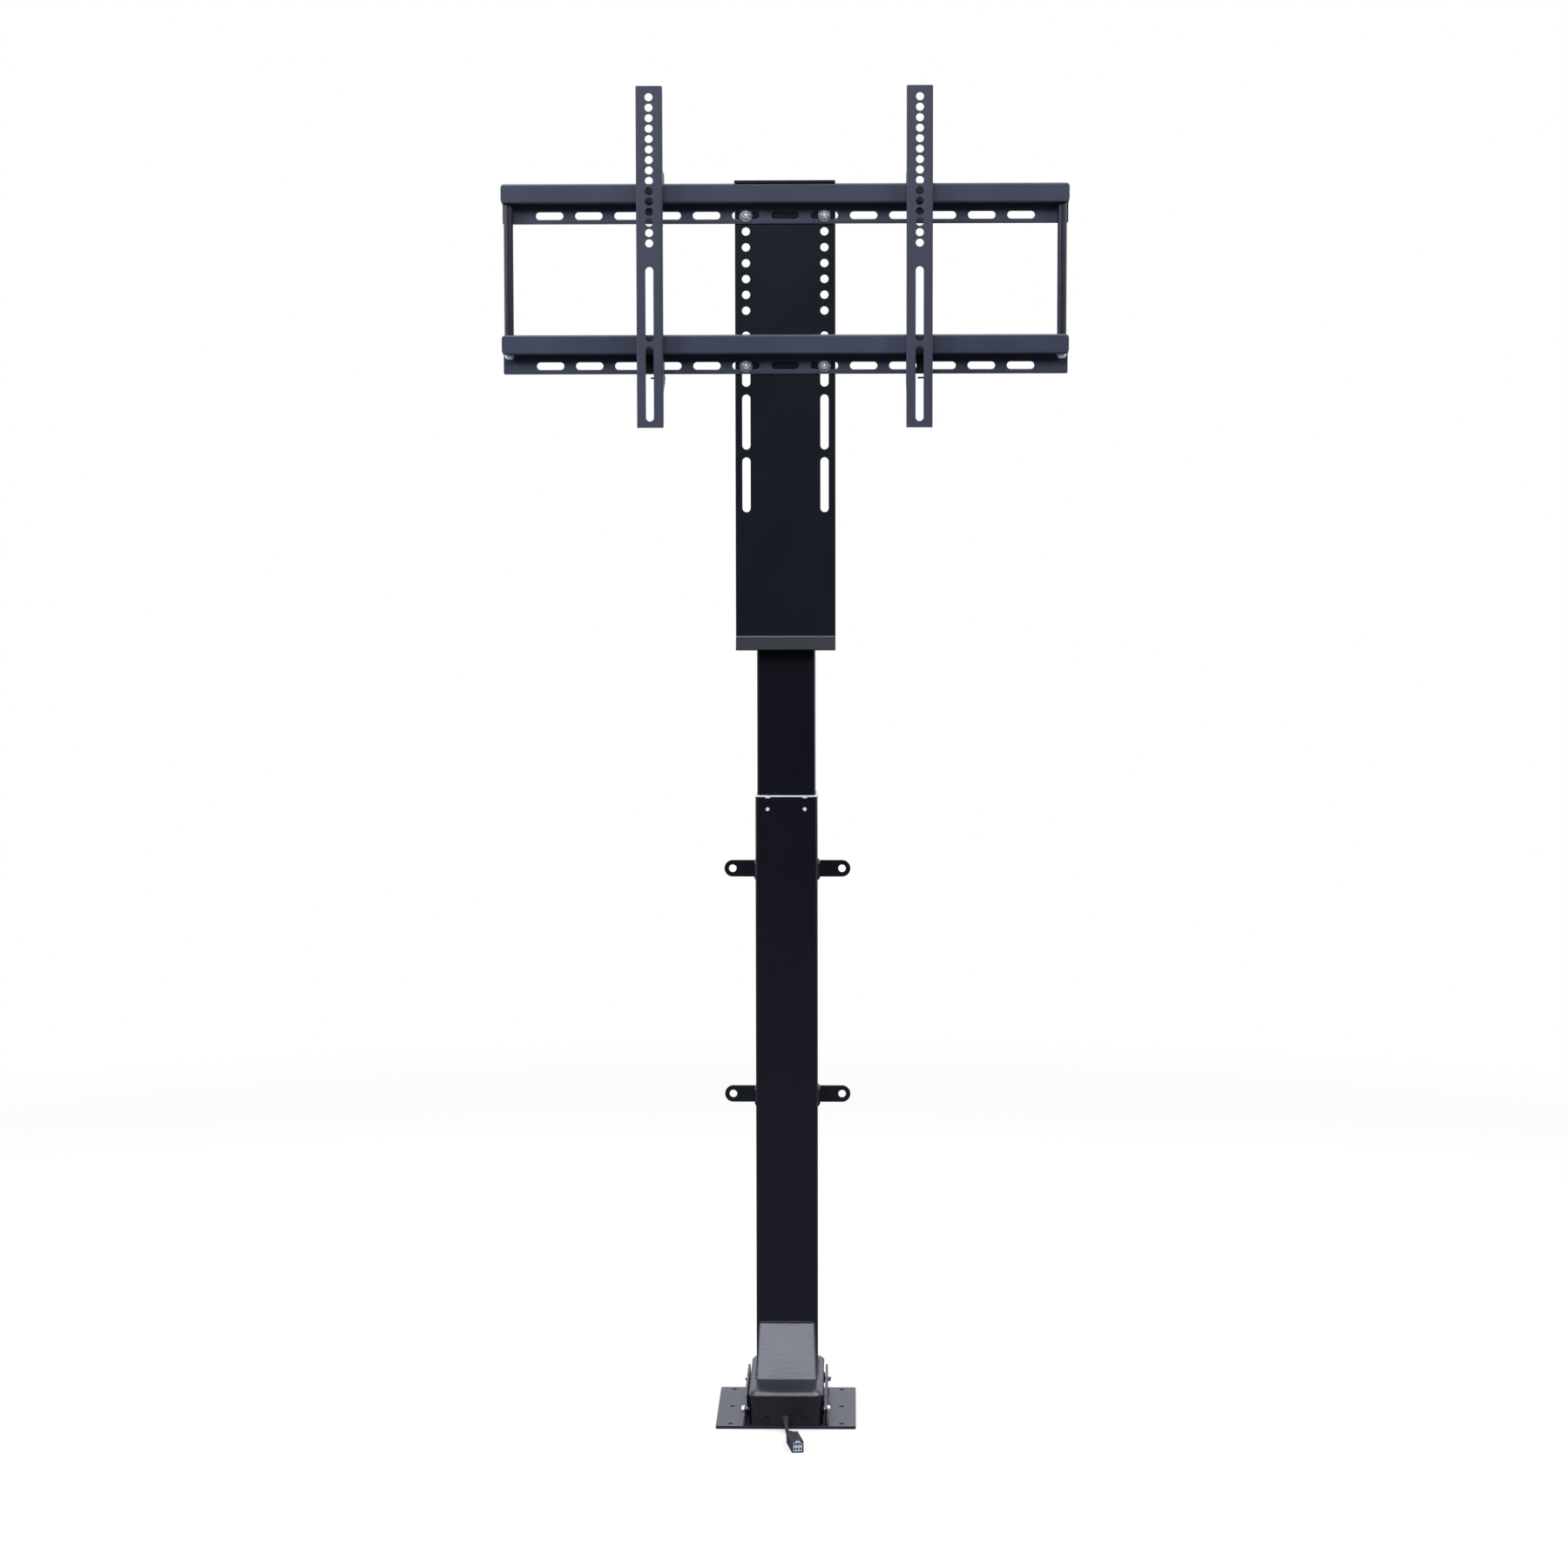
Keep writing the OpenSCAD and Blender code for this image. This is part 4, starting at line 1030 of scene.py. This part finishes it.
def make_side_bars():
    low = LOW_RAIL_TOP + 0.05
    long = RAIL_TOP - RAIL_BOX_H - 0.05 - low
    for side, word in SIDES:
        shape = bmesh.new()
        lathe(shape, [(3.1, 0), (5.3, 0), (6, 0.7), (6, long - 0.7), (5.3, long), (4, long), (4, long + 6.6),
                      (3.6, long + 7), (0, long + 7)], (side * BAR_X, BAR_Y, low), Z, 48)
        finish_piece("side_bar_%s_rod" % word, shape, BAR, "head", ["side_bar_" + word])
        shape = bmesh.new()
        lathe(shape, [(0, -3.4), (2.2, -3.4), (2.3, -5.8), (3.2, -5.8), (4.4, -5.2), (5.3, -4.0),
                      (5.6, -2.6), (5.7, -1.5), (6.4, -1.5), (6.7, -1.2), (6.7, -0.3), (6.4, 0), (3, 0),
                      (3, 37), (2.5, 37.6), (0, 37.6)],
              (side * BAR_X, BAR_Y, LOW_RAIL_TOP - RAIL_BOX_H - 0.1), Z)
        # The pan heads take pale steel with a painted highlight, bright under the rail's overhang
        finish_piece("bar_screw_%s_pan" % word, shape, SHINE_PAINTED_STEEL, "head", ["bar_screw_" + word])


# Arms
def arm_bend(side, x):
    """Plan of the rounded edge between an arm's face and one flank."""
    half, r = ARM_W / 2, ARM_BEND
    turns = [(r, a) for a in range(0, 91, 15)] + [(r - ARM_T, a) for a in range(90, -1, -15)]
    plan = [(x + side * (half - r + k * sin(radians(a))),
             ARM_FRONT + r - k * cos(radians(a))) for k, a in turns]
    if side > 0:
        plan.reverse()
    return [Vector(point) for point in plan]


def make_arm(side, word):
    shape = bmesh.new()
    t = ARM_T
    half = ARM_W / 2
    front = ARM_FRONT
    x = side * ARM_X
    holes = [circle(0, ARM_HOLE_TOP - ARM_HOLE_PITCH * i, ARM_HOLE_D / 2) for i in range(ARM_HOLES)]
    for z in ARM_SLOTS:
        holes.append(long_hole(0, z + ARM_SLOT_L / 2, ARM_SLOT_L, ARM_HOLE_D, upright=True))
    flat = box(-half + ARM_BEND, ARM_BOTTOM, half - ARM_BEND, ARM_TOP)
    add_mesh(shape, sheet(flat, holes, t, 0.3), facing((x, front + t / 2, 0), X, Z))
    low = LOW_RAIL_TOP
    back = PLATE_BACK + 4
    cheek = [(front + ARM_BEND, ARM_BOTTOM), (front + 14, ARM_BOTTOM), (front + 20, ARM_BOTTOM + 10),
             (front + 20, low - 74), (PLATE_FRONT - 8, low - 64), (back, low - 60), (back, low - 50.2),
             (PLATE_FRONT - 3.4, low - 50.2), (PLATE_FRONT - 3.4, low - 26), (front + 22, low - 26),
             (front + 20, low - 24), (front + 20, RAIL_TOP - 20), (RAIL_FRONT - 0.5, RAIL_TOP - 14),
             (RAIL_FRONT - 0.5, RAIL_TOP + 0.4), (PLATE_FRONT + 0.5, RAIL_TOP + 0.4),
             (PLATE_FRONT + 0.5, RAIL_TOP - 16), (back, RAIL_TOP - 16), (back, RAIL_TOP + 8),
             (back - 6, RAIL_TOP + 14), (front + 20, RAIL_TOP + 16), (front + 20, ARM_TOP - 8),
             (front + 14, ARM_TOP), (front + ARM_BEND, ARM_TOP)]
    corner = [0, 3, 4, 3, 4, 2, 1.5, 0.6, 1.5, 0.6, 1, 1, 1, 0.6, 0.6, 2, 2, 3, 3, 3, 4, 3, 0]
    pin = circle(PIN_Y, PIN_Z, 1.3, 24)
    for s in (-1, 1):
        flank = sheet(round_outline(cheek, corner), [pin] if s > 0 else [], t, 0.3)
        add_mesh(shape, flank, facing((x + s * (half - t / 2), 0, 0), Y, Z))
        outline = arm_bend(s, x)
        mid = sum(outline, Vector((0, 0))) / len(outline)
        rings = []
        for z, soft in ((ARM_BOTTOM, 0.25), (ARM_BOTTOM + 0.3, 0), (ARM_TOP - 0.3, 0), (ARM_TOP, 0.25)):
            rings.append([(*(p + (mid - p).normalized() * soft), z) for p in outline])
        loft(shape, rings)
    finish_piece("arm_%s_channel" % word, shape, ARM, "arm_" + word, ["arm_" + word])
    shape = bmesh.new()
    lathe(shape, [(0, -18), (0.9, -18), (1.2, -17.6), (1.2, 0), (2.4, 0), (2.35, 0.35), (1.7, 0.65),
                  (0, 0.7)], (x + half + 0.05, PIN_Y, PIN_Z), X, 24)
    finish_piece("lock_pin_%s_rod" % word, shape, STEEL_BLACK, "arm_" + word, ["lock_pin_" + word])


# Lead and connector
LEAD_D = 5
LEAD_ROUTE = [
    (0, -99, 12), (0.1, -103, 11.7), (0.35, -107, 10.9), (0.7, -111, 9.6),
    (1.1, -115, 7.9), (1.6, -119, 6.1), (2.2, -123, 4.5), (2.85, -127, 3.2),
    (3.5, -131, 2.65), (4.1, -135, 2.7), (4.75, -139, 3.6), (5.45, -143, 5.1),
    (6.1, -147, 6.7), (6.8, -151, 7.45), (7.5, -155, 7.5), (8.5, -161, 7.5),
]
CONNECTOR_AT = LEAD_ROUTE[-1]
CONNECTOR_TURN = 9.5
RELIEF_END = -113.4


def smooth_route(points, parts=2):
    """Points on one smooth curve through a given route."""
    spots = [Vector(p) for p in points]
    out = []
    for i in range(len(spots) - 1):
        a, b = spots[i], spots[i + 1]
        before = spots[max(i - 1, 0)]
        after = spots[min(i + 2, len(spots) - 1)]
        for k in range(parts):
            t = k / parts
            out.append(0.5 * (2 * a + (b - before) * t + (2 * before - 5 * a + 4 * b - after) * t ** 2
                              + (3 * a - before - 3 * b + after) * t ** 3))
    out.append(spots[-1])
    return out


def round_rings(points, radii, steps):
    """Rings of a round section along points, each with its own radius."""
    rings = []
    for i, point in enumerate(points):
        ahead = (points[min(i + 1, len(points) - 1)] - points[max(i - 1, 0)]).normalized()
        side = ahead.cross(Vector(Z)).normalized()
        rings.append([point + spoke * radii[i] for spoke in spokes(side, side.cross(ahead), steps)])
    return rings


def move_shape(shape, matrix):
    bmesh.ops.transform(shape, matrix=matrix, verts=shape.verts)


def make_strain_relief():
    """Segmented rubber bend protector, snapped into the front of the housing."""
    front = HOUSING_Y[0]
    shape = bmesh.new()
    for profile in ([(2.7, -0.6), (5.1, -0.6), (5.5, 0.2), (5.5, 1.5), (5.1, 2), (2.7, 2)],
                    [(2.7, -3), (5.4, -3), (5.4, -2.2), (4.1, -2.1), (4.1, -0.5)]):
        lathe(shape, profile, (0, front, LEAD_Z), FORWARD)
    route = [p for p in smooth_route([(0, -99.5, LEAD_Z)] + LEAD_ROUTE[1:6], 9) if p.y > RELIEF_END]
    radii = []
    for i in range(len(route)):
        t = i / (len(route) - 1)
        groove = 0.75 if i % 6 in (4, 5) and 3 < i < len(route) - 4 else 0
        radii.append(5 - 1.5 * t - groove - (0.35 if i == len(route) - 1 else 0))
    tip = round_rings(route, [LEAD_D / 2 + 0.05] * len(route), 28)
    loft(shape, round_rings(route, radii, 28) + [tip[-1], tip[-2]])
    finish_piece("bend_protector", shape, BLACK, "base", ["strain_relief"])


def make_connector():
    """Moulded six way connector: ribbed boot, square sleeve, pale insert with square sockets and a latch."""
    place = Matrix.Translation(CONNECTOR_AT) @ Matrix.Rotation(radians(CONNECTOR_TURN), 4, "Z")
    rings = [(5.4, 2.7, 0.5), (5.4, 2.7, 8.9), (8.6, 4.3, 9), (9.4, 4.7, 8.6)]
    for k in range(4):
        y = 7.2 - 2.6 * k
        wide, bend = 10.2 + 0.55 * k, 5.1 - 0.25 * k
        rings += [(wide, bend, y), (wide - 1.5, bend - 0.6, y - 0.3), (wide - 1.5, bend - 0.6, y - 1.2),
                  (wide + 0.3, bend - 0.1, y - 1.5)]
    rings += [(13.2, 2.8, -3.4), (15, 1.2, -5.6), (15, 1.2, -18), (14.5, 1.2, -18.4), (14.5, 1.2, -19.2),
              (15, 1.2, -19.6), (15, 1.2, -51.5), (14.4, 1.0, -52), (12.8, 0.6, -52), (12.2, 0.4, -51.6),
              (12.2, 0.4, -31.8)]
    shape = bmesh.new()
    loft(shape, [[(x, y, z) for x, z in round_square(width, width, r, 5)] for width, r, y in rings])
    for side in (-1, 1):
        for k in range(5):
            rib = round_outline(box(-26 - 2.4 * k, -5, -24.8 - 2.4 * k, 5), 0.5)
            add_mesh(shape, sheet(rib, [], 0.8, 0.2), facing((side * 7.45, 0, 0), Y, Z))
    move_shape(shape, place)
    shell = finish_piece("connector_sleeve", shape, BLACK, "base", ["connector_shell"])
    shape = bmesh.new()
    holes = [box(x - 1.4, z - 1.4, x + 1.4, z + 1.4) for x in (-3.8, 0, 3.8) for z in (-3, 2.6)]
    face = round_outline(box(-6, -6, 6, 6), 0.5)
    add_mesh(shape, sheet(face, holes, 18.6, 0.25), facing((0, -41.8, 0), X, Z))
    add_mesh(shape, sheet(face, [], 1.2, 0.2), facing((0, -37, 0), X, Z))
    tab = round_outline(box(-2.6, -53, 2.6, -45.5), 0.6)
    add_mesh(shape, sheet(tab, [], 1.8, 0.4), facing((0, 0, 6.5), X, Y))
    move_shape(shape, place)
    insert = finish_piece("connector_sockets", shape, SOCKET, "base", ["connector_insert"])
    return shell, insert


def make_lead(on_it):
    route = smooth_route(LEAD_ROUTE)
    shape = bmesh.new()
    loft(shape, round_rings(route, [LEAD_D / 2] * len(route), 24))
    lead = finish_piece("motor_lead", shape, JACKET, "base", ["lead"], smooth=60)


# Inner works and bracket, carried over with their finishes and the width of their softened edges
INNER_WORKS = (
    (STEEL, 0.25, ("motor_can", "motor_end_bell", "spindle_bearing", "lower_screw", "middle_foot",
                   "upper_bearing", "upper_screw", "inner_foot")),
    (STEEL, 0, ("worm_shaft",)),
    (BRONZE, 0.3, ("lower_nut", "upper_nut")),
    (BLACK, 0.5, ("gearbox_case", "gearbox_cap")),
    (NYLON, 0, ("worm_wheel",)),
    (NYLON, 0.2, ("middle_glide", "inner_glide")),
    (SATIN, 0.5, ("head_bracket",)),
)


def make_inner_works():
    for material, width, names in INNER_WORKS:
        for name in names:
            dress(name, material, width)
    shape = bmesh.new()
    z = INNER_TOP + 0.3
    y = PLATE_BACK + 5
    for side in (-1, 1):
        x = side * 29.8
        bead(shape, [(side * 34.4, y, z), (side * 34.4, 24, z)], 3, seed=60 + side)
        bead(shape, [(x, y - 0.4, INNER_TOP - 52), (x, y - 0.4, INNER_TOP - 4)], 2.6, seed=64 + side)
    bead(shape, [(-28, y - 0.4, z - 0.6), (28, y - 0.4, z - 0.6)], 3, seed=68)
    finish_piece("bracket_weld", shape, SATIN, "head")


# Floor, lights and the run of the script
def make_floor():
    """Pale floor: white to the camera from afar, toned near the object, and dim to everything else."""
    mesh = bpy.data.meshes.new("floor")
    mesh.from_pydata([(-7, -6, 0), (7, -6, 0), (7, 9, 0), (-7, 9, 0)], [], [(0, 1, 2, 3)])
    floor = new_object("floor", mesh)
    material, tree, shader = new_material("pale_floor")
    place = object_place(tree)
    seen = add_node(tree, "ShaderNodeLightPath").outputs["Is Camera Ray"]
    away = add_node(tree, "ShaderNodeVectorMath", place, operation="LENGTH").outputs["Value"]
    fade = map_range(tree, away, *FLOOR_FADE, 0.0, 1.0, "SMOOTHSTEP")
    lift = map_range(tree, fade, 0.0, 1.0, 0.5, 1.0)
    under = add_node(tree, "ShaderNodeVectorMath", place, operation="ABSOLUTE").outputs[0]
    parts = add_node(tree, "ShaderNodeSeparateXYZ", under).outputs
    past = [calc(tree, "GREATER_THAN", parts[axis], reach) for axis, reach in FLOOR_UNDER]
    amount = calc(tree, "MULTIPLY", calc(tree, "MULTIPLY", seen, lift), calc(tree, "MAXIMUM", *past))
    shader.inputs["Roughness"].default_value = 0.8
    tone = blend(tree, "RGBA", seen, (0.1, 0.1, 0.11, 1), (0.80, 0.78, 0.69, 1))
    feed(tree, shader.inputs["Base Color"], tone)
    white = add_node(tree, "ShaderNodeEmission", Strength=1.0)
    both = add_node(tree, "ShaderNodeMixShader", amount, shader.outputs[0], white.outputs[0])
    feed(tree, tree.nodes["Material Output"].inputs["Surface"], both.outputs[0])
    floor.data.materials.append(material)


make_camera()
make_strain_relief()
make_lead(make_connector())
make_world()
make_floor()
soft_light("softbox_above", (3.0, 3.0), 125, (0.2, 0.5, 3.8), (0, 0, 0.9))
soft_light("softbox_front", (2.2, 1.1), 64, (-0.3, -3.6, 3.3), (0, 0, 0.3))
soft_light("key_left", (1.6, 1.6), 90, (-3.4, -2.6, 2.8), (0, 0, 0.9))
soft_light("key_right", (1.4, 1.4), 55, (3.3, -2.7, 2.8), (0, 0, 0.9))
soft_light("strip_right", (0.6, 2.2), 14, (3.0, 0.4, 1.5), (0, 0, 0.9))
soft_light("strip_left", (0.6, 2.2), 18, (-3.0, 0.4, 1.5), (0, 0, 0.9))
make_base_plate()
make_ears()
make_ear_bolts()
make_housing()
make_ramp()
make_outer_tube()
make_lugs()
make_guides()
make_tube("middle_tube", MIDDLE_W, 4, MIDDLE_BOTTOM, MIDDLE_TOP, "middle_stage")
make_tube("inner_tube", INNER_W, 3.5, INNER_BOTTOM, INNER_TOP, "head")
make_head_plate()
make_rail("top_rail", RAIL_TOP)
make_rail("bottom_rail", LOW_RAIL_TOP)
make_rail_bolts()
make_side_bars()
make_arm(-1, "left")
make_arm(1, "right")
make_inner_works()
